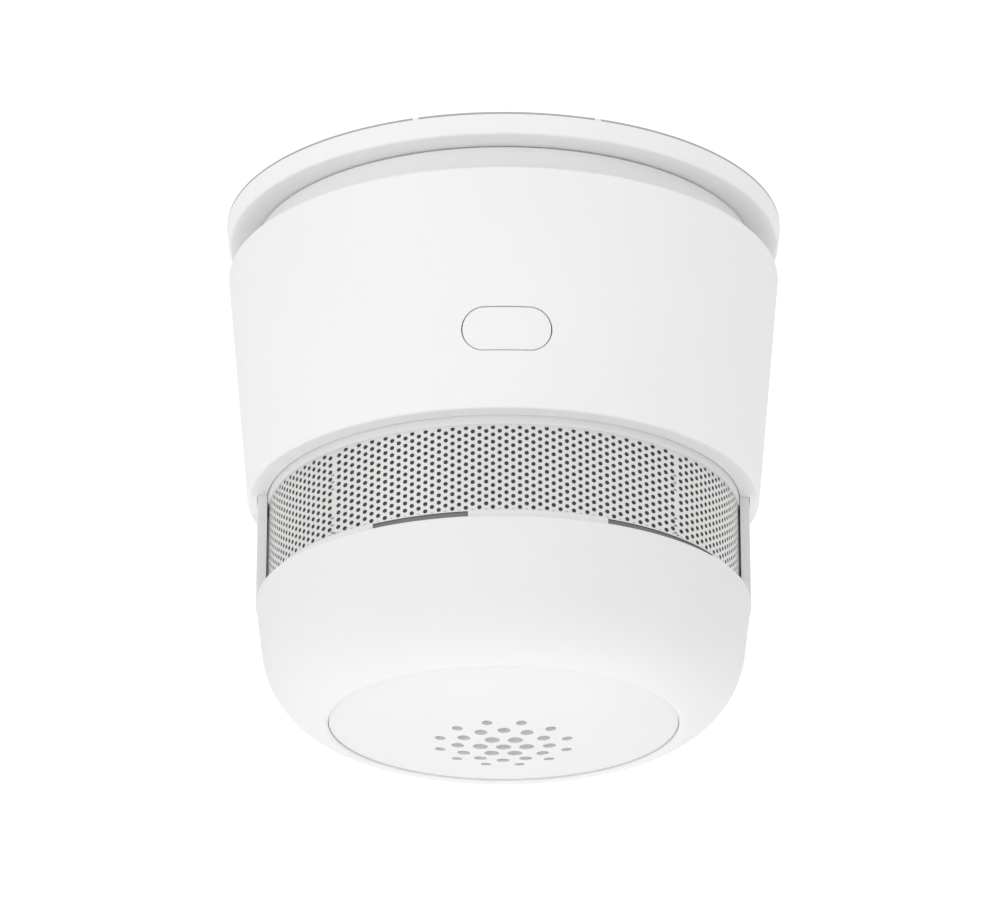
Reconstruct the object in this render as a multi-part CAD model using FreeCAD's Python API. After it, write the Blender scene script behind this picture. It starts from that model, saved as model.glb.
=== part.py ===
import FreeCAD, Part
import math
import os

V = FreeCAD.Vector
UP = V(0, 0, 1)
ALONG = V(1, 0, 0)
BACK = V(0, 1, 0)

# A compact ceiling smoke alarm. Z = 0 is the ceiling face and everything hangs below it.
# Bearings are turned from the front (-Y), towards +X. Millimetres throughout.

# ---- shared by every piece ----
past = 1.0
edge_fillet = 0.35
thread_room = 0.02
screw_room = 0.15

# ---- cells, which set the width and the depth of the housing ----
cell_diameter = 17.0
cell_length = 34.5
cell_gap = 0.8
cell_nub_length = 1.0
cell_nub_radius = 3.2
cell_play = 0.05
cell_edge = 0.6
contact_depth = 2.1
contact_sheet = 0.3
spring_half_width = 3.0
spring_reach = 6.0
contact_half_width = 4.0
tray_wall = 1.0
tray_play = 0.2
tray_lip_drop = 1.0
tray_window_end = 7.0
tray_window_side = 4.0
tray_post_radius = 1.5
tray_post_inset = 3.0
cell_side_room = 0.83
cell_top_room = 0.54
cell_floor_room = 0.4

# ---- radial build-up ----
neck_wall = 1.6
groove_depth = 3.0
flange_drop = 1.7
plate_draft = 0.29
plate_overhang = 0.3
collar_taper = 2.75
collar_wall = 1.8
underside_width = 2.2
screen_inset = 0.25
screen_sheet = 0.3
light_ring_wall = 1.6
shelf_lip = 1.3
ring_gap = 0.05
lip_overhang = 1.31
leg_thickness = 1.05
leg_width = 6.0
bowl_wall = 1.6
rim_width = 1.03
corner_width = 7.415

# ---- heights, from the ceiling down ----
plate_thickness = 2.54
turn_gap = 0.12
top_wall = 1.6
groove_height = 3.92
component_room = 4.2
board_thickness = 1.6
shelf_thickness = 2.4
chamber_base_thickness = 1.8
light_ring_seat = 1.4
light_ring_drop = 1.0
screen_height = 10.2
lip_drop = 1.04
bowl_height = 14.65
shoulder_drop = 5.76
shoulder_inset = 0.76
corner_bulge = 1.57
inner_bulge_share = 0.75
inner_shoulder_drop = 1.2
inner_rim_inset = 0.3
rim_outer_rise = 0.05
rim_crown = 0.03
rim_inner_rise = 0.12
leg_socket = 3.5
grille_recess = 0.36
grille_rise = 2.87
grille_wall = 1.4

# ---- ceiling fixing and bayonet ----
screw_slot_spacing = 40.0
screw_slot_radius = 2.2
screw_slot_travel = 6.0
screw_head_radius = 3.2
screw_head_depth = 1.3
seal_thickness = 0.22
seal_width = 3.2
seal_gap_bearing = 18.4
seal_gap_width = 0.7
hook_count = 4
hook_bearing = 20.0
hook_span = 20.0
hook_stem = 1.2
hook_reach = 1.4
hook_foot = 1.4
hook_inset = 3.0
hook_clearance = 0.2
hook_side_room = 0.4
unlock_angle = 20.0

# ---- fasteners ----
housing_screw_count = 4
housing_screw_bearing = -25.0
housing_screw_radius = 1.1
housing_screw_head_radius = 2.0
housing_screw_head = 1.3
housing_screw_length = 10.0
screw_end_room = 0.6
drive_floor = 0.6
drive_half_width = 0.25
housing_drive_reach = 1.3
board_drive_reach = 1.1
boss_radius = 2.8
boss_board_gap = 0.9
boss_web = 2.4
boss_wall_bury = 1.4
pillar_length = 9.2
board_screw_bearings = (110.0, 200.0, 290.0)
board_screw_radius = 1.0
board_screw_head_radius = 1.9
board_screw_head = 1.2
board_screw_length = 3.6
board_screw_inset = 1.5
pad_half_span = 7.0
pad_depth = 2.4
pad_root = 0.5

# ---- board, test button and its switch ----
board_inset = 1.3
button_width = 9.85
button_height = 4.91
button_gap = 0.13
button_flange = 1.2
button_flange_gap = 0.12
button_travel = 0.4
button_cap_depth = 4.1
switch_width = 6.0
switch_depth = 3.6
switch_height = 3.9
switch_bore_room = 0.2
button_opening_room = 0.2
button_wing_half_height = 1.6
plunger_radius = 0.85
plunger_fit = 0.08
plunger_root = 1.4
plunger_touch = 0.05
board_front_room = 1.0

# ---- components on the board ----
chip_lift = 0.15
lead_out = 1.0
lead_thickness = 0.35
lead_half_width = 0.2
lead_end = 0.5
capacitor_radius = 3.15
capacitor_height = 3.8
capacitor_base_height = 0.9
capacitor_base_half = 3.3
capacitor_row = -9.0
capacitor_places = (-9.0, 0.0)
inductor_radius = 3.9
inductor_winding_radius = 3.1
inductor_flange = 0.9
inductor_height = 3.8
inductor_place = (10.5, -8.5)
led_inset = 3.4
led_base_half_width = 1.6
led_base_half_depth = 1.2
led_base_height = 0.6
led_lens_radius = 0.9
led_height = 1.5

# ---- optical chamber ----
labyrinth_room = 3.305
labyrinth_depth = 5.0
labyrinth_vanes = 20
vane_thickness = 0.9
vane_lean = 35.0
vane_share = 0.62
vane_band = 1.0
cap_thickness = 1.2
cap_lift = 0.4
optics_radius = 2.5
optics_length = 7.0
optics_reach = 9.0
optics_bearings = (60.0, -75.0)
lead_hole_radius = 1.3
lead_radius = 0.25
lead_half_pitch = 0.7
lead_setback = 1.5

# ---- sounder ----
# rings of holes: how many, ring radius, bearing of the first, hole radius
sounder_hole_rings = (
    (1, 0.0, 0.0, 0.87),
    (6, 2.62, 30.0, 0.86),
    (12, 5.18, 0.0, 0.74),
    (12, 7.42, 15.0, 0.61),
)
grille_foot = 1.6
membrane_thickness = 0.25
membrane_gap = 0.05
membrane_inset = 2.2
ledge_thickness = 1.4
resonator_rim = 2.4
resonator_height = 7.6
resonator_wall = 1.4
resonator_step = 1.0
resonator_vent = 2.0
gasket_width = 1.6
piezo_radius = 13.5
piezo_thickness = 0.25
ceramic_radius = 10.0
ceramic_thickness = 0.2
piezo_fit = 0.1
piezo_depth = 1.3
pin_radius = 0.5
pin_bearings = (45.0, -45.0)
pin_clearance = 0.4
pin_board_room = 0.1
pin_base_room = 0.3
pin_stub = 0.8
pin_landing = 4.0

# ---- retaining ring under the screen ----
retainer_step = 0.1
retainer_wall = 1.1
retainer_height = 3.4
retainer_notch_depth = 1.4
retainer_notch_web = 0.3
retainer_notches = ((-21.0, 24.0), (42.0, 35.0), (125.0, 35.0), (180.0, 24.0), (235.0, 35.0))

# ---- worked out from the values above ----
cell_radius = cell_diameter / 2
cell_offset = cell_radius + cell_gap / 2
tray_half_length = cell_length / 2 + contact_depth + tray_wall
tray_half_width = cell_offset + cell_radius
neck_inner = math.hypot(tray_half_length, tray_half_width) + cell_side_room
neck_radius = neck_inner + neck_wall
collar_top_radius = neck_radius + groove_depth
collar_bottom_radius = collar_top_radius - collar_taper
plate_radius = collar_top_radius + plate_overhang
light_ring_radius = collar_bottom_radius - underside_width - ring_gap
screen_radius = light_ring_radius - screen_inset + ring_gap
retainer_radius = screen_radius + retainer_step
lip_radius = screen_radius + lip_overhang
rim_radius = lip_radius - corner_width
grille_radius = rim_radius - rim_width
labyrinth_radius = screen_radius - screen_sheet - labyrinth_room
resonator_radius = piezo_radius + piezo_fit + resonator_rim

z_plate = -plate_thickness
z_housing = z_plate - turn_gap
z_top_wall = z_housing - top_wall
z_cell = z_top_wall - cell_top_room - cell_radius
z_tray = z_cell - cell_radius - cell_floor_room
z_tray_under = z_tray - tray_wall
z_board = z_tray_under - component_room
z_board_under = z_board - board_thickness
z_shelf = z_board_under - shelf_thickness
z_chamber = z_shelf - chamber_base_thickness
z_collar_top = z_plate - groove_height
z_collar = z_chamber - light_ring_seat
z_light_ring = z_collar - light_ring_drop
z_screen = z_light_ring - screen_height
z_lip = z_screen - lip_drop
z_rim = z_lip - bowl_height
z_grille_edge = z_rim + grille_recess
z_apex = z_grille_edge - grille_rise
z_button = z_board + switch_height / 2

collar_height = z_collar_top - z_collar
dome_radius = (grille_radius ** 2 + grille_rise ** 2) / (2 * grille_rise)
z_dome_centre = z_apex + dome_radius
hook_radius = neck_inner - hook_inset
boss_centre = neck_inner - boss_radius + boss_wall_bury
pin_centre = labyrinth_radius + pin_clearance + 2 * pin_radius


def at(radius, bearing, z=0.0):
    """The point at a radius and a bearing from the front."""
    turn = math.radians(bearing)
    return V(radius * math.sin(turn), -radius * math.cos(turn), z)


def rod(radius, z_low, z_high, centre=V(0, 0, 0)):
    """An upright cylinder between two heights."""
    return Part.makeCylinder(radius, z_high - z_low, V(centre.x, centre.y, z_low))


def tube(outer, inner, z_low, z_high, centre=V(0, 0, 0)):
    """An upright tube between two heights."""
    return rod(outer, z_low, z_high, centre).cut(rod(inner, z_low - past, z_high + past, centre))


def block(x0, x1, y0, y1, z0, z1):
    """A box between two corners."""
    return Part.makeBox(x1 - x0, y1 - y0, z1 - z0, V(x0, y0, z0))


def sector(inner, outer, z_low, z_high, start, span):
    """A part of a ring that starts at a bearing and runs on by span degrees."""
    wedge = Part.makeCylinder(outer, z_high - z_low, V(0, 0, z_low), UP, span)
    wedge.rotate(V(0, 0, 0), UP, start - 90)
    return wedge.cut(rod(inner, z_low - past, z_high + past))


def spun(edges):
    """A solid of revolution about Z from edges in the XZ plane."""
    face = Part.Face(Part.Wire(edges))
    return face.revolve(V(0, 0, 0), UP, 360)


def outline(points):
    """A closed run of straight edges through (radius, height) points."""
    corners = [V(r, 0, z) for r, z in points]
    return Part.makePolygon(corners + corners[:1]).Edges


def line(a, b):
    """A straight edge between two (radius, height) points."""
    return Part.LineSegment(V(a[0], 0, a[1]), V(b[0], 0, b[1])).toShape()


def arc(a, m, b):
    """An arc from a to b through m, each a (radius, height) point."""
    return Part.Arc(V(a[0], 0, a[1]), V(m[0], 0, m[1]), V(b[0], 0, b[1])).toShape()


def joined(first, *others):
    """One solid from pieces that touch."""
    return first.fuse(list(others)).removeSplitter()


def group(solids):
    """Several separate solids kept in one node."""
    return Part.makeCompound(solids)


def lies_at(edge, z, radius=0.0):
    """True for an edge that lies flat at a height and is as wide as a circle of that radius or wider."""
    bounds = edge.BoundBox
    return abs(bounds.ZMin - z) < 0.01 and abs(bounds.ZMax - z) < 0.01 and bounds.XMax > radius


def collar_radius(z):
    """The outer radius of the tapered housing at a height."""
    return collar_top_radius - collar_taper * (z_collar_top - z) / collar_height


def hook_bearings():
    return [hook_bearing + 360.0 / hook_count * n for n in range(hook_count)]


def boss_bearings():
    return [housing_screw_bearing + 360.0 / housing_screw_count * n for n in range(housing_screw_count)]


# ------------------------------------------------------------------ ceiling side

def seal_gap_bearings():
    return [side + turn for side in (0, 180) for turn in (-seal_gap_bearing, seal_gap_bearing)]


def seal_segments():
    """The arcs of foam between the plate's four locating lugs."""
    half_gap = math.degrees(seal_gap_width / 2 / plate_radius)
    starts = seal_gap_bearings()
    segments = []
    for n, start in enumerate(starts):
        end = starts[(n + 1) % len(starts)]
        span = (end - start) % 360 - 2 * half_gap
        inner = plate_radius - seal_width
        segments.append(sector(inner, plate_radius, -seal_thickness, 0, start + half_gap, span))
    return segments


def long_hole(x, radius, z_low, z_high):
    """A slot along X, centred at x, for a screw or its head."""
    half = screw_slot_travel / 2
    slot = block(x - half, x + half, -radius, radius, z_low, z_high)
    return slot.fuse([rod(radius, z_low, z_high, V(x + end, 0, 0)) for end in (-half, half)])


def mounting_plate():
    """Round plate with two screw slots, a foam recess and bayonet hooks."""
    r = plate_radius
    plate = spun(outline(((0, 0), (r, 0), (r - plate_draft, z_plate), (0, z_plate))))
    lower_rim = [edge for edge in plate.Edges if lies_at(edge, z_plate)]
    plate = plate.makeFillet(edge_fillet, lower_rim)
    for side in (-1, 1):
        x = side * screw_slot_spacing / 2
        plate = plate.cut(long_hole(x, screw_slot_radius, z_plate - past, past))
        plate = plate.cut(long_hole(x, screw_head_radius, z_plate - past, z_plate + screw_head_depth))
    for segment in seal_segments():
        plate = plate.cut(segment)
    hooks = []
    z_foot = z_top_wall - turn_gap
    for bearing in hook_bearings():
        start = bearing - hook_span / 2
        stem = sector(hook_radius, hook_radius + hook_stem, z_foot - hook_foot, z_plate, start, hook_span)
        reach = hook_radius + hook_stem + hook_reach
        foot = sector(hook_radius, reach, z_foot - hook_foot, z_foot, start, hook_span)
        hooks += [stem, foot]
    return joined(plate, *hooks)


def seal_ring():
    """Grey foam seal that closes the joint to the ceiling."""
    return group(seal_segments())


# ------------------------------------------------------------------ housing

def hook_windows():
    """Openings in the rear wall: narrow where a hook holds, wide where it comes out."""
    side = math.degrees(hook_clearance / hook_radius) + hook_side_room
    inner = hook_radius - hook_clearance
    narrow = hook_radius + hook_stem + hook_clearance
    wide = hook_radius + hook_stem + hook_reach + hook_clearance
    windows = []
    for bearing in hook_bearings():
        start = bearing - hook_span / 2 - side
        z0, z1 = z_top_wall - past, z_housing + past
        windows.append(sector(inner, narrow, z0, z1, start, hook_span + unlock_angle + 2 * side))
        windows.append(sector(inner, wide, z0, z1, start + unlock_angle, hook_span + 2 * side))
    return windows


def rear_housing():
    """Closes the back of the housing and carries the neck seen in the groove."""
    z_flange = z_collar_top - flange_drop
    z_bottom = z_flange - top_wall
    flange_radius = collar_radius(z_bottom) - collar_wall - ring_gap
    shell = spun(outline((
        (0, z_housing), (neck_radius, z_housing), (neck_radius, z_flange),
        (flange_radius, z_flange), (flange_radius, z_bottom), (neck_inner, z_bottom),
        (neck_inner, z_top_wall), (0, z_top_wall))))
    z_pillar = z_housing - pillar_length
    for bearing in boss_bearings():
        centre = at(boss_centre, bearing)
        shell = shell.fuse(rod(boss_radius, z_pillar, z_top_wall, centre))
    shell = shell.cut(hook_windows())
    for bearing in boss_bearings():
        centre = at(boss_centre, bearing)
        z_head = z_pillar + housing_screw_length / 3
        shell = shell.cut(rod(housing_screw_head_radius + hook_clearance, z_head, z_housing + past, centre))
        shell = shell.cut(rod(housing_screw_radius + screw_room, z_pillar - past, z_head + past, centre))
    return shell.removeSplitter()


def button_prism(width, height, y0, y1):
    """The rounded bar shape of the button, pointing to the front."""
    half = (width - height) / 2
    r = height / 2
    bar = block(-half, half, y0, y1, z_button - r, z_button + r)
    ends = [Part.makeCylinder(r, y1 - y0, V(x, y0, z_button), BACK) for x in (-half, half)]
    return bar.fuse(ends).removeSplitter()


def upper_housing():
    """Tapered outer shell with the board shelf, the screw bosses and the button opening."""
    inner_top = collar_top_radius - collar_wall
    opening = light_ring_radius + ring_gap
    shelf_inner = opening - shelf_lip
    shell = spun(outline((
        (collar_top_radius, z_collar_top), (collar_bottom_radius, z_collar), (opening, z_collar),
        (opening, z_shelf), (shelf_inner, z_shelf), (shelf_inner, z_board_under),
        (collar_radius(z_board_under) - collar_wall, z_board_under), (inner_top, z_collar_top))))
    upper = [edge for edge in shell.Edges if lies_at(edge, z_collar_top, inner_top + past)]
    lower = [edge for edge in shell.Edges if lies_at(edge, z_collar, opening + past)]
    shell = shell.makeFillet(edge_fillet, upper + lower)
    z_pillar = z_housing - pillar_length
    z_boss = z_board + boss_board_gap
    web_outer = collar_radius(z_boss) - collar_wall / 2
    additions = []
    for bearing in boss_bearings():
        centre = at(boss_centre, bearing)
        additions.append(rod(boss_radius, z_boss, z_pillar, centre))
        web = block(-boss_web / 2, boss_web / 2, -web_outer, -boss_centre, z_boss, z_pillar)
        web.rotate(V(0, 0, 0), UP, bearing)
        additions.append(web)
    for bearing in board_screw_bearings:
        pad_inner = shelf_inner - pad_depth
        start = bearing - pad_half_span
        pad = sector(pad_inner, shelf_inner + pad_root, z_shelf, z_board_under, start, 2 * pad_half_span)
        additions.append(pad)
    shell = joined(shell, *additions)
    for bearing in boss_bearings():
        z_end = z_pillar - housing_screw_length * 2 / 3 - screw_end_room
        shell = shell.cut(rod(housing_screw_radius, z_end, z_pillar + past, at(boss_centre, bearing)))
    for bearing in board_screw_bearings:
        shell = shell.cut(rod(board_screw_radius, z_shelf - past, z_board, board_screw_place(bearing)))
    opening_width = button_width + 2 * button_gap
    opening_height = button_height + 2 * button_gap
    front = -collar_top_radius - past
    back = -board_front() - button_opening_room
    shell = shell.cut(button_prism(opening_width, opening_height, front, back))
    for leg in leg_blocks(ring_gap):
        shell = shell.cut(leg)
    return shell


def board_screw_place(bearing):
    return at(board_radius() - board_screw_inset, bearing)


def board_radius():
    """The board clears the housing wall beside it."""
    return collar_radius(z_board_under) - collar_wall - board_inset


def board_front():
    """Distance from the axis to the board's straight front edge."""
    return collar_radius(z_button) - button_cap_depth - button_travel - board_front_room


def drive_slot(reach, z_head, centre, turn=0):
    """A slot for the screwdriver in a screw head."""
    w = drive_half_width
    slot = block(-reach, reach, -w, w, z_head + drive_floor, z_head + housing_screw_head + past)
    slot.rotate(V(0, 0, 0), UP, turn)
    slot.translate(V(centre.x, centre.y, 0))
    return slot


def housing_screws():
    """Four screws that hold the rear housing to the upper housing."""
    z_head = z_housing - pillar_length + housing_screw_length / 3
    screws = []
    for bearing in boss_bearings():
        centre = at(boss_centre, bearing)
        shank = rod(housing_screw_radius - thread_room, z_head - housing_screw_length, z_head, centre)
        head = rod(housing_screw_head_radius, z_head, z_head + housing_screw_head, centre)
        screw = shank.fuse(head)
        for turn in (0, 90):
            screw = screw.cut(drive_slot(housing_drive_reach, z_head, centre, turn))
        screws.append(screw.removeSplitter())
    return group(screws)


# ------------------------------------------------------------------ cells

def cell(side):
    """A lithium cell lying along X. The nub end of each cell faces the other way."""
    y = side * cell_offset
    nub = cell_nub_length
    half = cell_length / 2
    body = Part.makeCylinder(cell_radius - cell_play, cell_length - nub, V(-half, y, z_cell), ALONG)
    body = body.makeFillet(cell_edge, [edge for edge in body.Edges if edge.Length > 4 * cell_radius])
    tip = Part.makeCylinder(cell_nub_radius, 2 * nub, V(half - 2 * nub, y, z_cell), ALONG)
    made = body.fuse(tip).removeSplitter()
    if side > 0:
        made.rotate(V(0, y, z_cell), UP, 180)
    return made


def cell_a():
    return cell(-1)


def cell_b():
    return cell(1)


def battery_tray():
    """Cradle for both cells, standing on the board by four posts."""
    width = tray_half_width - tray_play
    length = tray_half_length
    tray = block(-length, length, -width, width, z_tray_under, z_cell - tray_lip_drop)
    start = -cell_length / 2 - contact_depth
    for side in (-1, 1):
        place = V(start, side * cell_offset, z_cell)
        tray = tray.cut(Part.makeCylinder(cell_radius + 2 * cell_play, -2 * start, place, ALONG))
    x = cell_length / 2 - tray_window_end
    y = width - tray_window_side
    tray = tray.cut(block(-x, x, -y, y, z_tray_under - past, z_cell))
    posts = []
    for x in (-length + tray_post_inset, length - tray_post_inset):
        for y in (-width + tray_post_inset, width - tray_post_inset):
            posts.append(rod(tray_post_radius, z_board, z_tray_under + tray_play, V(x, y, 0)))
    return joined(tray, *posts)


def battery_springs():
    """Bent spring strips that press on the flat ends of the cells."""
    strips = []
    near = -cell_length / 2
    far = near - contact_depth
    t = contact_sheet
    w = spring_half_width
    z_top = z_cell + contact_half_width
    for side in (-1, 1):
        y = side * cell_offset
        foot = block(far, far + t, y - w, y + w, z_cell - spring_reach, z_top)
        bridge = block(far, near, y - w, y + w, z_top - t, z_top)
        blade = block(near - t, near, y - w, y + w, z_cell - w, z_top)
        strip = joined(foot, bridge, blade)
        if side > 0:
            strip.rotate(V(0, y, z_cell), UP, 180)
        strips.append(strip)
    return group(strips)


def battery_contacts():
    """Bent plates that meet the nubs of the cells."""
    plates = []
    near = cell_length / 2
    far = near + contact_depth
    t = contact_sheet
    w = contact_half_width
    for side in (-1, 1):
        y = side * cell_offset
        face = block(near, near + t, y - w, y + w, z_cell - w, z_cell + w)
        bridge = block(near, far, y - w, y + w, z_cell - w, z_cell - w + t)
        back = block(far - t, far, y - w, y + w, z_cell - w, z_cell + spring_half_width)
        plate = joined(face, bridge, back)
        if side > 0:
            plate.rotate(V(0, y, z_cell), UP, 180)
        plates.append(plate)
    return group(plates)


# ------------------------------------------------------------------ board and button

def main_board():
    """Round circuit board with a straight front edge behind the button."""
    board = rod(board_radius(), z_board_under, z_board)
    front = board_front()
    z0, z1 = z_board_under - past, z_board + past
    reach = plate_radius
    board = board.cut(block(-reach, reach, -2 * reach, -front, z0, z1))
    for bearing in board_screw_bearings:
        board = board.cut(rod(board_screw_radius + screw_room, z0, z1, board_screw_place(bearing)))
    for bearing in pin_bearings:
        board = board.cut(rod(pin_radius + pin_board_room, z0, z1, at(pin_centre, bearing)))
    return board


def board_screws():
    """Three screws that hold the board to its shelf."""
    screws = []
    for bearing in board_screw_bearings:
        place = board_screw_place(bearing)
        shank = rod(board_screw_radius - thread_room, z_board - board_screw_length, z_board, place)
        head = rod(board_screw_head_radius, z_board, z_board + board_screw_head, place)
        slot = drive_slot(board_drive_reach, z_board, place)
        screws.append(shank.fuse(head).cut(slot).removeSplitter())
    return group(screws)


def chip(x, y, width, depth, height, leads):
    """A flat chip on the board with rows of leads along both long sides."""
    left = x - width / 2
    front = y - depth / 2
    body = block(left, left + width, front, front + depth, z_board + chip_lift, z_board + height)
    pitch = (width - 2 * lead_end) / (leads - 1)
    near, far = front - lead_out, front + depth + lead_out
    pins = []
    for n in range(leads):
        px = left + lead_end + n * pitch
        low, high = px - lead_half_width, px + lead_half_width
        pins.append(block(low, high, near, far, z_board, z_board + lead_thickness))
    return joined(body, *pins)


def controller_chip():
    return chip(x=6.0, y=3.0, width=9.0, depth=7.0, height=1.3, leads=8)


def sensor_chip():
    return chip(x=-8.0, y=3.0, width=6.0, depth=4.0, height=1.5, leads=5)


def capacitors():
    """Low electrolytic capacitors standing on the board."""
    cans = []
    y = capacitor_row
    w = capacitor_base_half
    z_base = z_board + capacitor_base_height
    for x in capacitor_places:
        can = rod(capacitor_radius, z_base, z_board + capacitor_height, V(x, y, 0))
        base = block(x - w, x + w, y - w, y + w, z_board, z_base)
        cans.append(joined(can, base))
    return group(cans)


def horn_inductor():
    """Step-up inductor that drives the sounder."""
    place = V(inductor_place[0], inductor_place[1], 0)
    z_low, z_high = z_board + inductor_flange, z_board + inductor_height - inductor_flange
    core = rod(inductor_radius, z_board, z_low, place)
    winding = rod(inductor_winding_radius, z_low, z_high, place)
    top = rod(inductor_radius, z_high, z_board + inductor_height, place)
    return joined(core, winding, top)


def switch_body():
    """Side-push switch on the front edge of the board."""
    y0 = -board_front()
    w = switch_width / 2
    body = block(-w, w, y0, y0 + switch_depth, z_board, z_board + switch_height)
    depth = plunger_root + button_travel + switch_bore_room
    bore = Part.makeCylinder(plunger_radius + plunger_fit, past + depth, V(0, y0 - past, z_button), BACK)
    return body.cut(bore)


def button_back():
    """The Y of the button's rear face at rest."""
    return -collar_radius(z_button) + button_cap_depth


def switch_plunger():
    """Plunger of the switch, just behind the button."""
    y0 = button_back() + plunger_touch
    y1 = -board_front() + plunger_root
    return Part.makeCylinder(plunger_radius, y1 - y0, V(0, y0, z_button), BACK)


def test_button():
    """Rounded bar that is flush with the housing, with a flange behind its wall."""
    z_top = z_button + button_height
    z_low = z_button - button_height
    front = -collar_top_radius - past
    cone = Part.makeCone(collar_radius(z_low), collar_radius(z_top), z_top - z_low, V(0, 0, z_low))
    cap = button_prism(button_width, button_height, front, button_back()).common(cone)
    inset = collar_wall + button_flange_gap
    low, top = collar_radius(z_low) - inset, collar_radius(z_top) - inset
    inner = Part.makeCone(low, top, z_top - z_low, V(0, 0, z_low))
    half = button_width / 2 + button_flange
    tall = button_wing_half_height
    wing = block(-half, half, front, button_back(), z_button - tall, z_button + tall).common(inner)
    return joined(cap, wing)


def status_led():
    """Indicator lamp under the board that lights the ring."""
    w, d = led_base_half_width, led_base_half_depth
    base = block(-w, w, -d, d, z_board_under - led_base_height, z_board_under)
    base.translate(at(light_ring_radius - led_inset, 0))
    z_base = z_board_under - led_base_height
    lens = rod(led_lens_radius, z_board_under - led_height, z_base, at(light_ring_radius - led_inset, 0))
    return joined(base, lens)


# ------------------------------------------------------------------ chamber

def light_ring():
    """Translucent ring that shows the state of the alarm all round."""
    inner = light_ring_radius - light_ring_wall
    return tube(light_ring_radius, inner, z_light_ring, z_chamber)


def chamber_base():
    """Black ceiling of the sensing chamber, pressed up against the shelf."""
    disc = rod(light_ring_radius - ring_gap, z_chamber, z_shelf)
    z0, z1 = z_chamber - past, z_shelf + past
    for bearing in pin_bearings:
        disc = disc.cut(rod(pin_radius + pin_base_room, z0, z1, at(pin_centre, bearing)))
    disc = disc.cut(rod(lead_hole_radius, z0, z1, at(light_ring_radius - led_inset, 0)))
    for bearing in optics_bearings:
        disc = disc.cut(rod(lead_hole_radius, z0, z1, lead_place(bearing)))
    return disc


def labyrinth():
    """Ring of leaning black vanes that keeps light out and lets smoke in."""
    z_low = z_screen + cap_thickness + cap_lift
    inner = labyrinth_radius - labyrinth_depth
    ring = tube(labyrinth_radius, inner, z_chamber - vane_band, z_chamber)
    w = vane_thickness / 2
    reach = labyrinth_depth * vane_share
    vanes = []
    for n in range(labyrinth_vanes):
        vane = block(-w, w, -reach, reach, z_low, z_chamber - vane_band / 2)
        vane.rotate(V(0, 0, 0), UP, vane_lean)
        vane.translate(V(0, -labyrinth_radius + labyrinth_depth / 2, 0))
        vane.rotate(V(0, 0, 0), UP, 360.0 / labyrinth_vanes * n)
        vanes.append(vane)
    bounds = tube(labyrinth_radius, inner, z_low, z_chamber)
    vanes = [vane.common(bounds) for vane in vanes]
    return joined(ring, *vanes)


def labyrinth_cap():
    """Black floor of the sensing chamber."""
    z_under = z_screen + cap_lift
    return rod(labyrinth_radius, z_under, z_under + cap_thickness)


def lead_place(bearing):
    return at(optics_reach + optics_length - lead_setback, bearing)


def optics(bearing):
    """A small optical can under the chamber's ceiling, aimed at the axis, with its two leads."""
    z = z_chamber - optics_radius
    start = at(optics_reach + optics_length, bearing, z)
    aim = at(-1, bearing)
    body = Part.makeCylinder(optics_radius, optics_length, start, aim)
    tip = Part.makeSphere(optics_radius, at(optics_reach, bearing, z))
    leads = []
    for side in (-lead_half_pitch, lead_half_pitch):
        leads.append(rod(lead_radius, z, z_board_under, lead_place(bearing) + at(side, bearing)))
    return joined(body, tip, *leads)


def infrared_lamp():
    return optics(optics_bearings[0])


def photodiode():
    return optics(optics_bearings[1])


def insect_screen():
    """Metal band with fine holes round the sensing chamber."""
    return tube(screen_radius, screen_radius - screen_sheet, z_screen, z_light_ring)


def retaining_ring():
    """Ring under the screen, recessed in five places round its upper edge."""
    inner = retainer_radius - retainer_wall
    ring = tube(retainer_radius, inner, z_screen - retainer_height, z_screen)
    for bearing, span in retainer_notches:
        z0 = z_screen - retainer_notch_depth
        start = bearing - span / 2
        recess = sector(inner + retainer_notch_web, retainer_radius + past, z0, z_screen + past, start, span)
        ring = ring.cut(recess)
    return ring


# ------------------------------------------------------------------ front cover and sounder

def bulged_mid(a, b, bulge):
    """The middle of the chord from a to b, moved outwards by bulge."""
    length = math.hypot(b[0] - a[0], b[1] - a[1])
    out = ((a[1] - b[1]) / length, (b[0] - a[0]) / length)
    return ((a[0] + b[0]) / 2 + out[0] * bulge, (a[1] + b[1]) / 2 + out[1] * bulge)


def leg_blocks(clearance=0.0):
    """Two flat legs that carry the cover, one at each side."""
    inner = lip_radius - leg_thickness - clearance
    outer = lip_radius + clearance
    half = leg_width / 2 + clearance
    z_top = z_collar + leg_socket + clearance
    band = tube(outer, inner, z_lip, z_top)
    legs = []
    for side in (-1, 1):
        reach = block(0, plate_radius, -half, half, z_lip - past, z_top + past)
        reach.rotate(V(0, 0, 0), UP, 90 - 90 * side)
        legs.append(band.common(reach))
    return legs


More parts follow.
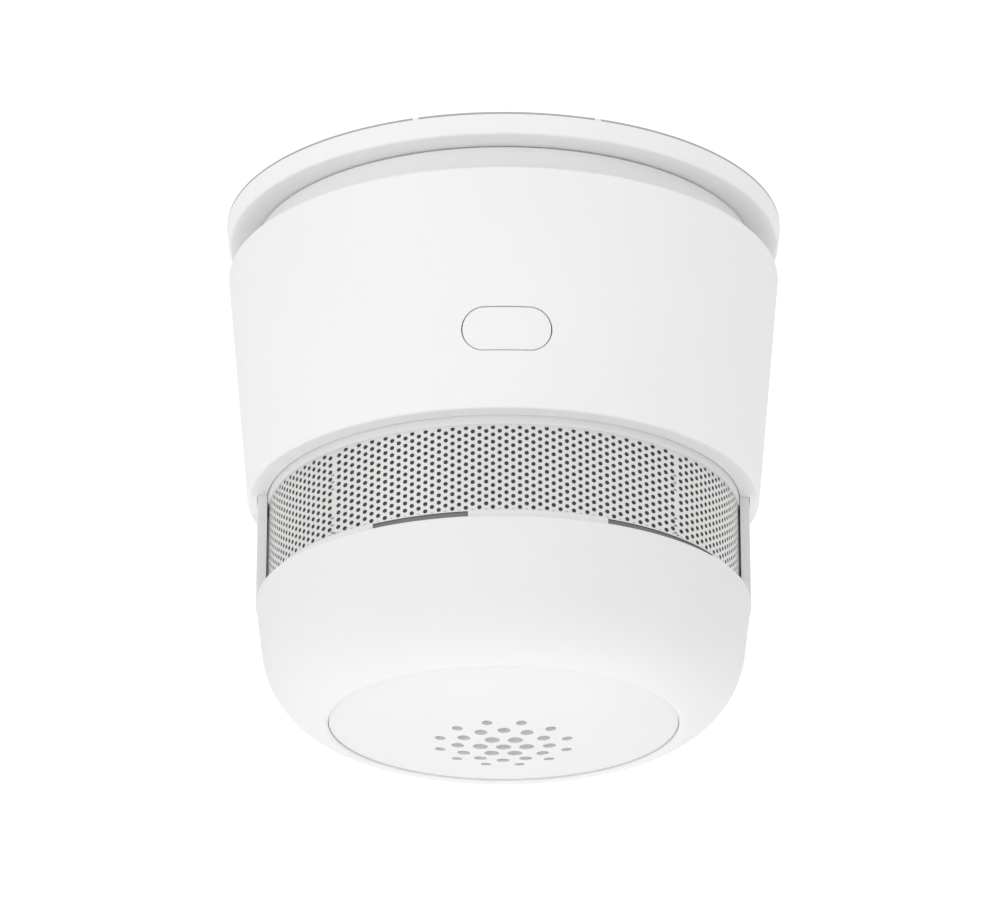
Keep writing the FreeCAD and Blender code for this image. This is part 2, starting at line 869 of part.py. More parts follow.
def front_cover():
    """Rounded lower cover with its rim, the sounder ledge and the two legs."""
    lip = (lip_radius, z_lip)
    shoulder = (lip_radius - shoulder_inset, z_lip - shoulder_drop)
    edge = (rim_radius, z_rim + rim_outer_rise)
    rim_mid = (rim_radius - rim_width / 2, z_rim - rim_crown)
    rim_in = (grille_radius + ring_gap, z_rim + rim_inner_rise)
    w = bowl_wall
    seat = grille_radius + ring_gap
    z_seat = z_grille_edge + grille_wall
    z_ledge = z_seat + ledge_thickness
    ledge_inner = resonator_radius - resonator_wall
    in_lip = (retainer_radius + ring_gap, z_lip)
    z_step = z_screen - retainer_height
    in_step = (retainer_radius + ring_gap, z_step)
    in_step2 = (retainer_radius - retainer_wall, z_step)
    in_shoulder = (shoulder[0] - w, min(shoulder[1], z_step - inner_shoulder_drop))
    in_edge = (rim_radius - inner_rim_inset, z_ledge)
    bowl = spun([
        line(lip, shoulder),
        arc(shoulder, bulged_mid(shoulder, edge, corner_bulge), edge),
        arc(edge, rim_mid, rim_in),
        line(rim_in, (seat, z_seat)),
        line((seat, z_seat), (ledge_inner, z_seat)),
        line((ledge_inner, z_seat), (ledge_inner, z_ledge)),
        line((ledge_inner, z_ledge), in_edge),
        arc(in_edge, bulged_mid(in_edge, in_shoulder, -corner_bulge * inner_bulge_share), in_shoulder),
        line(in_shoulder, in_step2),
        line(in_step2, in_step),
        line(in_step, in_lip),
        line(in_lip, lip),
    ])
    return joined(bowl, *leg_blocks())


def dome_shell(radius, outer_offset, thickness):
    """A round piece of the domed front, offset inwards from its outer face."""
    outer = Part.makeSphere(dome_radius - outer_offset, V(0, 0, z_dome_centre))
    inner = Part.makeSphere(dome_radius - outer_offset - thickness, V(0, 0, z_dome_centre))
    return outer.cut(inner).common(rod(radius, z_apex - past, z_apex + dome_radius / 2))


def sounder_grille():
    """Domed disc with a round pattern of sound holes."""
    z_seat = z_grille_edge + grille_wall
    rim = tube(grille_radius, grille_radius - grille_foot, z_grille_edge - past, z_seat)
    rim = rim.common(Part.makeSphere(dome_radius, V(0, 0, z_dome_centre)))
    disc = joined(dome_shell(grille_radius, 0, grille_wall), rim)
    disc = disc.common(rod(grille_radius, z_apex - past, z_seat))
    for count, ring_radius, first, hole_radius in sounder_hole_rings:
        for n in range(count):
            place = at(ring_radius, first + 360.0 / count * n)
            disc = disc.cut(rod(hole_radius, z_apex - past, z_seat + past, place))
    return disc


def dust_membrane():
    """Pale fabric disc behind the sound holes."""
    return dome_shell(grille_radius - membrane_inset, grille_wall + membrane_gap, membrane_thickness)


def z_resonator():
    """The height of the ledge that the resonator stands on."""
    return z_grille_edge + grille_wall + ledge_thickness


def resonator_housing():
    """Cup that holds the piezo disc and tunes its sound."""
    z0 = z_resonator()
    z1 = z0 + resonator_height
    bore = piezo_radius + piezo_fit
    cup = rod(resonator_radius, z0, z1)
    cup = cup.cut(rod(bore, z0 - past, z0 + piezo_depth))
    cup = cup.cut(rod(bore - resonator_step, z0, z1 - resonator_wall))
    cup = cup.cut(rod(resonator_vent, z0, z1 + past))
    return cup


def piezo_disc():
    """Brass disc of the sounder."""
    z = z_resonator() + piezo_depth - piezo_thickness
    return rod(piezo_radius, z, z + piezo_thickness)


def piezo_ceramic():
    """Ceramic layer bonded to the brass disc."""
    z = z_resonator() + piezo_depth
    return rod(ceramic_radius, z, z + ceramic_thickness)


def sounder_gasket():
    """Soft ring that presses the brass disc into the resonator."""
    z0 = z_resonator()
    return tube(piezo_radius, piezo_radius - gasket_width, z0, z0 + piezo_depth - piezo_thickness)


def sounder_pins():
    """Two wires from the board, past the chamber, to the sounder."""
    z_run = z_resonator() + resonator_height + pin_radius
    z_top = z_board + pin_stub
    bend = 4 * pin_radius
    half_root = bend * (1 - math.sqrt(0.5))
    start = (pin_centre, z_top)
    corner = (pin_centre, z_run + bend)
    middle = (pin_centre - half_root, z_run + half_root)
    turned = (pin_centre - bend, z_run)
    end = (resonator_radius - pin_landing, z_run)
    route = Part.Wire([line(start, corner), arc(corner, middle, turned), line(turned, end)])
    section = Part.Wire(Part.makeCircle(pin_radius, V(pin_centre, 0, z_top), UP))
    wire = route.makePipeShell([section], True, False)
    pins = []
    for bearing in pin_bearings:
        pin = wire.copy()
        pin.rotate(V(0, 0, 0), UP, bearing - 90)
        pins.append(pin)
    return group(pins)


PARTS = (
    mounting_plate, seal_ring, rear_housing, upper_housing, housing_screws, cell_a, cell_b,
    battery_tray, battery_springs, battery_contacts, main_board, board_screws, controller_chip,
    sensor_chip, capacitors, horn_inductor, switch_body, switch_plunger, test_button, status_led,
    light_ring, chamber_base, labyrinth, labyrinth_cap, infrared_lamp, photodiode, insect_screen,
    retaining_ring, front_cover, sounder_grille, dust_membrane, resonator_housing, piezo_disc,
    piezo_ceramic, sounder_gasket, sounder_pins,
)

os.makedirs("parts", exist_ok=True)
for make in PARTS:
    shape = make()
    shape.exportStep("parts/" + make.__name__ + ".step")
    print(make.__name__, len(shape.Solids), round(shape.Volume, 1), shape.isValid())
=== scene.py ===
import math

import bpy
from bpy.props import FloatProperty, FloatVectorProperty, IntProperty, PointerProperty
from bpy.types import Operator, Panel, PropertyGroup
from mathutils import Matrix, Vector


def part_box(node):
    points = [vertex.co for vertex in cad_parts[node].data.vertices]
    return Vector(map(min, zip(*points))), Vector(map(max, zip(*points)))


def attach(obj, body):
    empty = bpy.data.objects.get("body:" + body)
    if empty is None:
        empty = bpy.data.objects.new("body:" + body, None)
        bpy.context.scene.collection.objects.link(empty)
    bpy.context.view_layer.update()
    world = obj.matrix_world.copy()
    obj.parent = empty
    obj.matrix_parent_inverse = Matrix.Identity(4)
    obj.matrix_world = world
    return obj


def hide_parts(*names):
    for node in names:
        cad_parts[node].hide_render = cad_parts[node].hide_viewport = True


bl_info = {
    "name": "Ceiling smoke detector",
    "version": (1, 0, 0),
    "blender": (4, 5, 0),
    "location": "3D View > Sidebar > Detector",
    "description": "Shells, screen, sounder disc and finishes of a small ceiling smoke detector",
    "category": "Add Mesh",
}

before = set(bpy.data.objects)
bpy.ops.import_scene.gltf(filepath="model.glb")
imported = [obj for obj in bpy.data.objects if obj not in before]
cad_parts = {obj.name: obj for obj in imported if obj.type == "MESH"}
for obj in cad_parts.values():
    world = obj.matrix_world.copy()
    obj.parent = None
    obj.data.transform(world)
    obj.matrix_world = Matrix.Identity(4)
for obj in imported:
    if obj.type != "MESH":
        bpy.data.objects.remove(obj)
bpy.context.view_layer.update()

MM = 0.001
TURN = 2 * math.pi
STEPS = 256
SOFT_ANGLE = math.radians(32)
PLATE = "ceiling_plate"
BODY = "detector"
TURN_GAP = 0.12 * MM


def top_of(node):
    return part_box(node)[1].z


def foot_of(node):
    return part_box(node)[0].z


def radius_of(node):
    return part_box(node)[1].x


# ---- places taken from the frame ----
PLATE_RADIUS = radius_of("seal_ring")
PLATE_FOOT = top_of("rear_housing") + TURN_GAP
SEAL_FOOT = foot_of("seal_ring")
NECK_TOP = top_of("rear_housing")
COLLAR_TOP = top_of("upper_housing")
COLLAR_FOOT = foot_of("upper_housing")
COLLAR_RADIUS = radius_of("upper_housing")
BOARD_TOP = top_of("main_board")
BOARD_FOOT = foot_of("main_board")
SHELF_FOOT = top_of("chamber_base")
RING_TOP = top_of("light_ring")
RING_FOOT = foot_of("light_ring")
RING_RADIUS = radius_of("light_ring")
SCREEN_RADIUS = radius_of("insect_screen")
SCREEN_FOOT = foot_of("insect_screen")
RETAINER_RADIUS = radius_of("retaining_ring")
RETAINER_FOOT = foot_of("retaining_ring")
COVER_RADIUS = radius_of("front_cover")
LEG_TOP = top_of("front_cover")
GRILLE_RADIUS = radius_of("sounder_grille")
GRILLE_SEAT = top_of("sounder_grille")
APEX = foot_of("sounder_grille")
RESONATOR_FOOT = foot_of("resonator_housing")


# ------------------------------------------------------------------ settings

class DetectorShape(PropertyGroup):
    """Sizes of the shells that a maker would change."""
    edge_radius: FloatProperty(
        name="Edge radius", description="Rounding of the moulded outer edges",
        default=0.35 * MM, unit="LENGTH")
    collar_foot_radius: FloatProperty(
        name="Housing foot radius", description="Outer radius of the tapered housing at its lower edge",
        default=RING_RADIUS + 2.25 * MM, unit="LENGTH")
    shell_wall: FloatProperty(
        name="Housing wall", description="Wall thickness of the tapered housing",
        default=1.8 * MM, unit="LENGTH")
    cover_wall: FloatProperty(
        name="Cover wall", description="Wall thickness of the rounded cover",
        default=1.6 * MM, unit="LENGTH")
    lip_height: FloatProperty(
        name="Cover lip", description="Height of the cover's upper edge in the frame",
        default=SCREEN_FOOT - 1.04 * MM, unit="LENGTH")
    rim_radius: FloatProperty(
        name="Rim radius", description="Outer radius of the rim round the sounder disc",
        default=GRILLE_RADIUS + 1.03 * MM, unit="LENGTH")
    leg_width: FloatProperty(
        name="Leg width", description="Width of the two legs of the cover",
        default=6.0 * MM, unit="LENGTH")


class ScreenPattern(PropertyGroup):
    """The lattice of fine holes in the screen."""
    hole_radius: FloatProperty(
        name="Hole radius", description="Radius of one hole of the screen",
        default=0.25 * MM, unit="LENGTH")
    row_pitch: FloatProperty(
        name="Row pitch", description="Distance between holes above each other",
        default=0.859 * MM, unit="LENGTH")
    columns: IntProperty(
        name="Columns", description="Columns of holes in each of the four panels", default=51, min=3)
    sheet: FloatProperty(
        name="Sheet", description="Thickness of the screen sheet", default=0.1 * MM, unit="LENGTH")
    hem: FloatProperty(
        name="Hem", description="Plain strip along both edges of the screen",
        default=0.16 * MM, unit="LENGTH")


class DetectorFinish(PropertyGroup):
    """Colours of the main finishes."""
    shell_colour: FloatVectorProperty(
        name="Shell", description="Colour of the white moulded shells", subtype="COLOR",
        size=3, min=0, max=1, default=(0.82, 0.82, 0.82))
    mount_colour: FloatVectorProperty(
        name="Mount", description="Colour of the plate and the collar above the screen", subtype="COLOR",
        size=3, min=0, max=1, default=(0.88, 0.88, 0.88))
    screen_colour: FloatVectorProperty(
        name="Screen", description="Colour of the metal screen", subtype="COLOR",
        size=3, min=0, max=1, default=(0.62, 0.62, 0.62))
    chamber_colour: FloatVectorProperty(
        name="Chamber", description="Colour of the black chamber mouldings", subtype="COLOR",
        size=3, min=0, max=1, default=(0.02, 0.02, 0.02))


class StudioSettings(PropertyGroup):
    """Camera."""
    lens: FloatProperty(name="Lens", description="Focal length in millimetres", default=191.73)
    distance: FloatProperty(
        name="Camera distance", description="Camera distance from the axis along the floor",
        default=0.5705, unit="LENGTH")
    drop: FloatProperty(
        name="Camera drop", description="Camera height below the ceiling face",
        default=0.2596, unit="LENGTH")
    bearing: FloatProperty(
        name="Camera bearing", description="Bearing of the camera from the front, towards the left",
        default=math.radians(0.7), subtype="ANGLE")
    pitch: FloatProperty(
        name="Camera pitch", description="Upward tilt of the camera",
        default=math.radians(22.03), subtype="ANGLE")


# ------------------------------------------------------------------ modelling helpers

def start():
    """Object mode with nothing selected."""
    if bpy.context.mode != "OBJECT":
        bpy.ops.object.mode_set(mode="OBJECT")
    bpy.ops.object.select_all(action="DESELECT")


def pick(obj):
    start()
    obj.select_set(True)
    bpy.context.view_layer.objects.active = obj


def edit(obj, element="VERT"):
    """Edit mode on one object with nothing selected."""
    pick(obj)
    bpy.ops.object.mode_set(mode="EDIT")
    bpy.ops.mesh.select_mode(type=element)
    bpy.ops.mesh.select_all(action="DESELECT")


def select_where(obj, test):
    """Selects the vertices of the active object whose place passes the test, and stays in edit mode."""
    bpy.ops.object.mode_set(mode="EDIT")
    bpy.ops.mesh.select_all(action="DESELECT")
    bpy.ops.object.mode_set(mode="OBJECT")
    for vertex in obj.data.vertices:
        vertex.select = test(vertex.co)
    bpy.ops.object.mode_set(mode="EDIT")


def rounded(corners, steps=5):
    """Points of an outline from (radius, height, rounding) corners, each corner rounded by an arc."""
    points = []
    count = len(corners)
    for n, (x, z, r) in enumerate(corners):
        here = Vector((x, z))
        if r <= 0:
            points.append(here)
            continue
        before = (Vector(corners[n - 1][:2]) - here).normalized()
        after = (Vector(corners[(n + 1) % count][:2]) - here).normalized()
        half = before.angle(after) / 2
        centre = here + (before + after).normalized() * (r / math.sin(half))
        reach = r / math.tan(half)
        first = here + before * reach - centre
        last = here + after * reach - centre
        turn = first.angle_signed(last)
        for k in range(steps + 1):
            angle = -turn * k / steps
            c, s = math.cos(angle), math.sin(angle)
            points.append(centre + Vector((first.x * c - first.y * s, first.x * s + first.y * c)))
    return points


def bulged(a, b, bulge, steps):
    """Points strictly between a and b along an arc that stands out by bulge."""
    a, b = Vector(a), Vector(b)
    chord = b - a
    out = Vector((-chord.y, chord.x)).normalized()
    radius = (chord.length ** 2 / 4 + bulge ** 2) / (2 * bulge)
    centre = (a + b) / 2 + out * (bulge - radius)
    first, last = a - centre, b - centre
    turn = first.angle_signed(last)
    points = []
    for k in range(1, steps):
        angle = -turn * k / steps
        c, s = math.cos(angle), math.sin(angle)
        points.append(centre + Vector((first.x * c - first.y * s, first.x * s + first.y * c)))
    return points


def drawn(name, points):
    """A closed chain of edges in the XZ plane, drawn by extruding one corner from point to point."""
    start()
    x, z = points[0]
    bpy.ops.mesh.primitive_plane_add(size=MM, location=(x, 0, z))
    obj = bpy.context.active_object
    obj.name = name
    bpy.ops.object.transform_apply(location=True, rotation=True, scale=True)
    bpy.ops.object.mode_set(mode="EDIT")
    bpy.ops.mesh.select_mode(type="VERT")
    bpy.ops.mesh.select_all(action="SELECT")
    bpy.ops.mesh.merge(type="CENTER")
    for a, b in zip(points, points[1:] + points[:1]):
        step = (b[0] - a[0], 0, b[1] - a[1])
        bpy.ops.mesh.extrude_vertices_move(TRANSFORM_OT_translate={"value": step})
    bpy.ops.mesh.select_all(action="SELECT")
    bpy.ops.mesh.remove_doubles(threshold=1e-7)
    return obj


def turned(name, points, steps=STEPS):
    """A closed outline of (radius, height) points turned about the Z axis."""
    obj = drawn(name, points)
    bpy.ops.mesh.select_all(action="SELECT")
    bpy.ops.mesh.spin(steps=steps, angle=TURN, center=(0, 0, 0), axis=(0, 0, 1))
    bpy.ops.mesh.select_all(action="SELECT")
    bpy.ops.mesh.remove_doubles(threshold=5e-7)
    bpy.ops.mesh.normals_make_consistent(inside=False)
    bpy.ops.object.mode_set(mode="OBJECT")
    return obj


def sector(name, inner, outer, low, high, bearing, span, steps=24):
    """A part of a ring that starts at a bearing from the front and runs on by span degrees."""
    points = [Vector(p) for p in ((inner, low), (outer, low), (outer, high), (inner, high))]
    obj = drawn(name, points)
    bpy.ops.mesh.edge_face_add()
    bpy.ops.mesh.spin(steps=steps, angle=math.radians(span), center=(0, 0, 0), axis=(0, 0, -1))
    bpy.ops.mesh.select_all(action="SELECT")
    bpy.ops.mesh.remove_doubles(threshold=1e-7)
    bpy.ops.mesh.normals_make_consistent(inside=False)
    placed(obj, math.radians(bearing - 90))
    return obj


def placed(obj, turn):
    """Turns an object about the Z axis and keeps the place in its mesh."""
    pick(obj)
    obj.rotation_euler.z = turn
    bpy.ops.object.transform_apply(location=True, rotation=True, scale=True)


def at(radius, bearing, z=0.0):
    """The point at a radius and a bearing in degrees from the front."""
    turn = math.radians(bearing)
    return Vector((radius * math.sin(turn), -radius * math.cos(turn), z))


def rod(radius, low, high, centre, sides=48):
    """An upright cylinder between two heights."""
    start()
    place = (centre[0], centre[1], (low + high) / 2)
    bpy.ops.mesh.primitive_cylinder_add(vertices=sides, radius=radius, depth=high - low, location=place)
    bpy.ops.object.transform_apply(location=True, rotation=True, scale=True)
    return bpy.context.active_object


def block(low, high):
    """A box between two corners."""
    start()
    low, high = Vector(low), Vector(high)
    bpy.ops.mesh.primitive_cube_add(size=1, location=(low + high) / 2, scale=high - low)
    bpy.ops.object.transform_apply(location=True, rotation=True, scale=True)
    return bpy.context.active_object


def rounded_bar(width, height, y_low, y_high, z, centre_x=0.0, steps=24):
    """A bar with round ends that points along Y."""
    half, r = (width - height) / 2, height / 2
    start()
    bpy.ops.mesh.primitive_circle_add(vertices=steps * 2, radius=r, fill_type="NGON", location=(0, 0, 0))
    obj = bpy.context.active_object
    edit(obj)
    for side in (-1, 1):
        bpy.ops.mesh.select_all(action="DESELECT")
        select_where(obj, lambda co: co.x * side > 1e-8)
        bpy.ops.transform.translate(value=(side * half, 0, 0))
    bpy.ops.mesh.select_all(action="SELECT")
    bpy.ops.mesh.extrude_region_move(TRANSFORM_OT_translate={"value": (0, 0, y_high - y_low)})
    bpy.ops.mesh.select_all(action="SELECT")
    bpy.ops.mesh.normals_make_consistent(inside=False)
    bpy.ops.object.mode_set(mode="OBJECT")
    obj.rotation_euler.x = math.radians(-90)
    obj.location = (centre_x, y_low, z)
    bpy.ops.object.transform_apply(location=True, rotation=True, scale=True)
    return obj


def merged(first, others):
    """Several objects as one, with their own shells kept."""
    start()
    for obj in others:
        obj.select_set(True)
    first.select_set(True)
    bpy.context.view_layer.objects.active = first
    bpy.ops.object.join()
    return first


def carved(obj, tool, operation="DIFFERENCE"):
    """Cuts the tool out of the object, or adds it, and deletes the tool."""
    pick(obj)
    modifier = obj.modifiers.new("carve", "BOOLEAN")
    modifier.operation = operation
    modifier.solver = "EXACT"
    modifier.object = tool
    bpy.ops.object.modifier_apply(modifier=modifier.name)
    bpy.data.objects.remove(tool)
    return obj


def edged(obj, width, segments=3, angle=40):
    """Small even rounding along every sharp edge."""
    pick(obj)
    modifier = obj.modifiers.new("edge", "BEVEL")
    modifier.width = width
    modifier.segments = segments
    modifier.limit_method = "ANGLE"
    modifier.angle_limit = math.radians(angle)
    modifier.use_clamp_overlap = True
    bpy.ops.object.modifier_apply(modifier=modifier.name)
    return obj


def done(obj, name, body, nodes, material):
    """Names, shades and files a finished piece."""
    pick(obj)
    bpy.ops.object.shade_smooth_by_angle(angle=SOFT_ANGLE)
    obj.name = name
    obj.data.name = name
    obj.data.materials.clear()
    obj.data.materials.append(material)
    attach(obj, body)
    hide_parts(*nodes)
    return obj


# ------------------------------------------------------------------ materials

def effect(name, inputs, outputs):
    """A new shader node group with named sockets."""
    group = bpy.data.node_groups.new(name, "ShaderNodeTree")
    for label, kind, default in inputs:
        socket = group.interface.new_socket(label, in_out="INPUT", socket_type=kind)
        if default is not None:
            socket.default_value = default
    for label, kind in outputs:
        group.interface.new_socket(label, in_out="OUTPUT", socket_type=kind)
    group.nodes.new("NodeGroupInput")
    group.nodes.new("NodeGroupOutput")
    return group


def node(tree, kind, links=(), **values):
    """A node with its properties set and its inputs linked."""
    made = tree.nodes.new(kind)
    for key, value in values.items():
        setattr(made, key, value)
    for socket, source in links:
        if hasattr(source, "is_output"):
            tree.links.new(source, made.inputs[socket])
        else:
            made.inputs[socket].default_value = source
    return made


def ends(group):
    """The input and output nodes of a group."""
    first = next(n for n in group.nodes if n.type == "GROUP_INPUT")
    last = next(n for n in group.nodes if n.type == "GROUP_OUTPUT")
    return first.outputs, last.inputs


def moulded_grain():
    """Spark-eroded mould texture: a fine height and a broad, faint change of tone."""
    name = "Moulded grain"
    if name in bpy.data.node_groups:
        return bpy.data.node_groups[name]
    group = effect(name, (
        ("Vector", "NodeSocketVector", None), ("Grain", "NodeSocketFloat", 5000.0),
        ("Mottle", "NodeSocketFloat", 60.0), ("Colour", "NodeSocketColor", (0.8, 0.8, 0.8, 1)),
        ("Shade", "NodeSocketColor", (0.7, 0.7, 0.7, 1)), ("Gloss", "NodeSocketFloat", 0.5),
        ("Spread", "NodeSocketFloat", 0.1),
    ), (("Colour", "NodeSocketColor"), ("Roughness", "NodeSocketFloat"), ("Height", "NodeSocketFloat")))
    put, out = ends(group)
    fine = node(group, "ShaderNodeTexNoise", [
        ("Vector", put["Vector"]), ("Scale", put["Grain"]), ("Detail", 3.0), ("Roughness", 0.6)])
    broad = node(group, "ShaderNodeTexNoise", [
        ("Vector", put["Vector"]), ("Scale", put["Mottle"]), ("Detail", 4.0), ("Roughness", 0.55)])
    both = node(group, "ShaderNodeMath", [
        (0, fine.outputs["Fac"]), (1, broad.outputs["Fac"])], operation="MULTIPLY")
    spread = node(group, "ShaderNodeMapRange", [
        (0, both.outputs[0]), (1, 0.12), (2, 0.40), (3, 0.0), (4, 1.0)])
    tint = node(group, "ShaderNodeMix", [
        (0, spread.outputs[0]), (6, put["Shade"]), (7, put["Colour"])], data_type="RGBA")
    shift = node(group, "ShaderNodeMath", [
        (0, fine.outputs["Fac"]), (1, put["Spread"]), (2, put["Gloss"])], operation="MULTIPLY_ADD")
    group.links.new(tint.outputs[2], out["Colour"])
    group.links.new(shift.outputs[0], out["Roughness"])
    group.links.new(fine.outputs["Fac"], out["Height"])
    return group


def moulded(name, colour, shade, gloss=0.45, grain=5200.0, depth=0.03,
            spread=0.12, mottle=70.0, specular=0.4):
    """Moulded plastic or rubber with a matt grain."""
    material = bpy.data.materials.new(name)
    material.use_nodes = True
    tree = material.node_tree
    shader = tree.nodes["Principled BSDF"]
    place = node(tree, "ShaderNodeTexCoord")
    grained = node(tree, "ShaderNodeGroup")
    grained.node_tree = moulded_grain()
    tree.links.new(place.outputs["Object"], grained.inputs["Vector"])
    for key, value in (("Grain", grain), ("Mottle", mottle), ("Gloss", gloss), ("Spread", spread),
                       ("Colour", (*colour, 1)), ("Shade", (*shade, 1))):
        grained.inputs[key].default_value = value
    bump = node(tree, "ShaderNodeBump", [
        ("Height", grained.outputs["Height"]), ("Strength", 0.5), ("Distance", depth * MM)])
    tree.links.new(grained.outputs["Colour"], shader.inputs["Base Color"])
    tree.links.new(grained.outputs["Roughness"], shader.inputs["Roughness"])
    tree.links.new(bump.outputs["Normal"], shader.inputs["Normal"])
    shader.inputs["Specular IOR Level"].default_value = specular
    return material


def metal(name, colour, shade, gloss=0.35, grain=2600.0, depth=0.004,
          stretch=(1, 1, 1), metallic=1.0, spread=0.15):
    """Rolled or drawn metal, its grain stretched along the working direction."""
    material = bpy.data.materials.new(name)
    material.use_nodes = True
    tree = material.node_tree
    shader = tree.nodes["Principled BSDF"]
    place = node(tree, "ShaderNodeTexCoord")
    along = node(tree, "ShaderNodeMapping", [("Vector", place.outputs["Object"]), ("Scale", stretch)])
    grained = node(tree, "ShaderNodeGroup")
    grained.node_tree = moulded_grain()
    tree.links.new(along.outputs["Vector"], grained.inputs["Vector"])
    for key, value in (("Grain", grain), ("Mottle", 120.0), ("Gloss", gloss), ("Spread", spread),
                       ("Colour", (*colour, 1)), ("Shade", (*shade, 1))):
        grained.inputs[key].default_value = value
    bump = node(tree, "ShaderNodeBump", [
        ("Height", grained.outputs["Height"]), ("Strength", 0.4), ("Distance", depth * MM)])
    tree.links.new(grained.outputs["Colour"], shader.inputs["Base Color"])
    tree.links.new(grained.outputs["Roughness"], shader.inputs["Roughness"])
    tree.links.new(bump.outputs["Normal"], shader.inputs["Normal"])
    shader.inputs["Metallic"].default_value = metallic
    return material


def scaled(colour, share):
    return tuple(channel * share for channel in colour)


def finish(name):
    """The finish with that name, made when it is first asked for."""
    if name in bpy.data.materials:
        return bpy.data.materials[name]
    colours = bpy.context.scene.detector_finish
    shell = tuple(colours.shell_colour)
    mount = tuple(colours.mount_colour)
    screen = tuple(colours.screen_colour)
    black = tuple(colours.chamber_colour)
    recipes = {
        "white_shell": lambda: moulded(name, shell, scaled(shell, 0.975)),
        "white_mount": lambda: moulded(name, mount, scaled(mount, 0.975)),
        "white_disc": lambda: moulded(name, scaled(shell, 0.975), scaled(shell, 0.95), gloss=0.45),
        "milky_ring": lambda: moulded(name, scaled(shell, 0.92), scaled(shell, 0.90),
            gloss=0.3, depth=0.004),
        "grey_foam": lambda: moulded(name, (0.46, 0.46, 0.47), (0.38, 0.38, 0.39),
            gloss=0.8, grain=2500.0, depth=0.05),
        "black_moulding": lambda: moulded(name, black, scaled(black, 0.7), gloss=0.5),
        "screen_metal": lambda: metal(name, screen, scaled(screen, 0.9), gloss=0.48),
        # Painted shade: a dark grey whose tone stands for the shade seen through the screen's holes
        "dark_gauze": lambda: moulded(name, (0.085, 0.085, 0.085), (0.07, 0.07, 0.07),
            gloss=0.9, grain=6000.0, depth=0.03,
            specular=0.1),
        # Painted shade: the grey of the notch tabs stands for the shadow inside the notches
        "gauze_edge": lambda: moulded(name, (0.25, 0.25, 0.25), (0.21, 0.21, 0.21),
            gloss=0.9, grain=6000.0, depth=0.03,
            specular=0.1),
        "steel": lambda: metal(name, (0.55, 0.55, 0.56), (0.45, 0.45, 0.46), gloss=0.3),
        "nickel_strip": lambda: metal(name, (0.62, 0.60, 0.56), (0.5, 0.48, 0.45),
            gloss=0.25, stretch=(1, 6, 1)),
        "brass": lambda: metal(name, (0.72, 0.50, 0.20), (0.60, 0.40, 0.15), gloss=0.3, stretch=(1, 8, 1)),
        "can_metal": lambda: metal(name, (0.66, 0.66, 0.68), (0.58, 0.58, 0.60), gloss=0.22),
        "cell_sleeve": lambda: moulded(name, (0.03, 0.05, 0.11), (0.02, 0.035, 0.08),
            gloss=0.18, depth=0.002),
        "solder_mask": lambda: moulded(name, (0.015, 0.12, 0.04), (0.01, 0.09, 0.03),
            gloss=0.25, depth=0.004),
        "chip_resin": lambda: moulded(name, (0.025, 0.025, 0.028), (0.015, 0.015, 0.017), gloss=0.55),
        "ferrite": lambda: moulded(name, (0.05, 0.05, 0.052), (0.03, 0.03, 0.03), gloss=0.6, grain=3500.0),
        "lens_epoxy": lambda: moulded(name, (0.35, 0.38, 0.42), (0.30, 0.33, 0.38),
            gloss=0.08, depth=0.001),
        "membrane_cloth": lambda: moulded(name, (0.62, 0.62, 0.61), (0.50, 0.50, 0.49),
            gloss=0.85, grain=4200.0, depth=0.05),
        "ceramic": lambda: moulded(name, (0.72, 0.70, 0.62), (0.64, 0.62, 0.55), gloss=0.5),
        "soft_rubber": lambda: moulded(name, (0.03, 0.03, 0.03), (0.02, 0.02, 0.02), gloss=0.75),
    }
    return recipes[name]()


CAD_FINISHES = {
    "housing_screws": "steel", "cell_a": "cell_sleeve", "cell_b": "cell_sleeve",
    "battery_tray": "black_moulding", "battery_springs": "nickel_strip", "battery_contacts": "nickel_strip",
    "main_board": "solder_mask", "board_screws": "steel", "controller_chip": "chip_resin",
    "sensor_chip": "chip_resin", "capacitors": "can_metal", "horn_inductor": "ferrite",
    "switch_body": "black_moulding", "switch_plunger": "black_moulding", "status_led": "lens_epoxy",
    "chamber_base": "black_moulding", "labyrinth": "black_moulding", "labyrinth_cap": "black_moulding",
    "infrared_lamp": "lens_epoxy", "photodiode": "lens_epoxy", "resonator_housing": "black_moulding",
    "piezo_disc": "brass", "piezo_ceramic": "ceramic", "sounder_gasket": "soft_rubber",
    "sounder_pins": "steel",
}


# ------------------------------------------------------------------ pieces

HOOK_BEARINGS = (20, 110, 200, 290)
HOOK_SPAN = 20
TWIST_TURN = 20
HOOK_ROOM = 0.9
BOSS_BEARINGS = (-25, 65, 155, 245)
PAD_BEARINGS = (110, 200, 290)
LUG_BEARINGS = (-18.4, 18.4, 161.6, 198.4)
NOTCHES = ((-21, 24), (42, 35), (125, 35), (180, 24), (235, 35))
NOTCH_DEPTH = 1.4 * MM
RETAINER_WALL = 1.1 * MM
NOTCH_WEB = 0.3 * MM
LEG_THICKNESS = 1.05 * MM


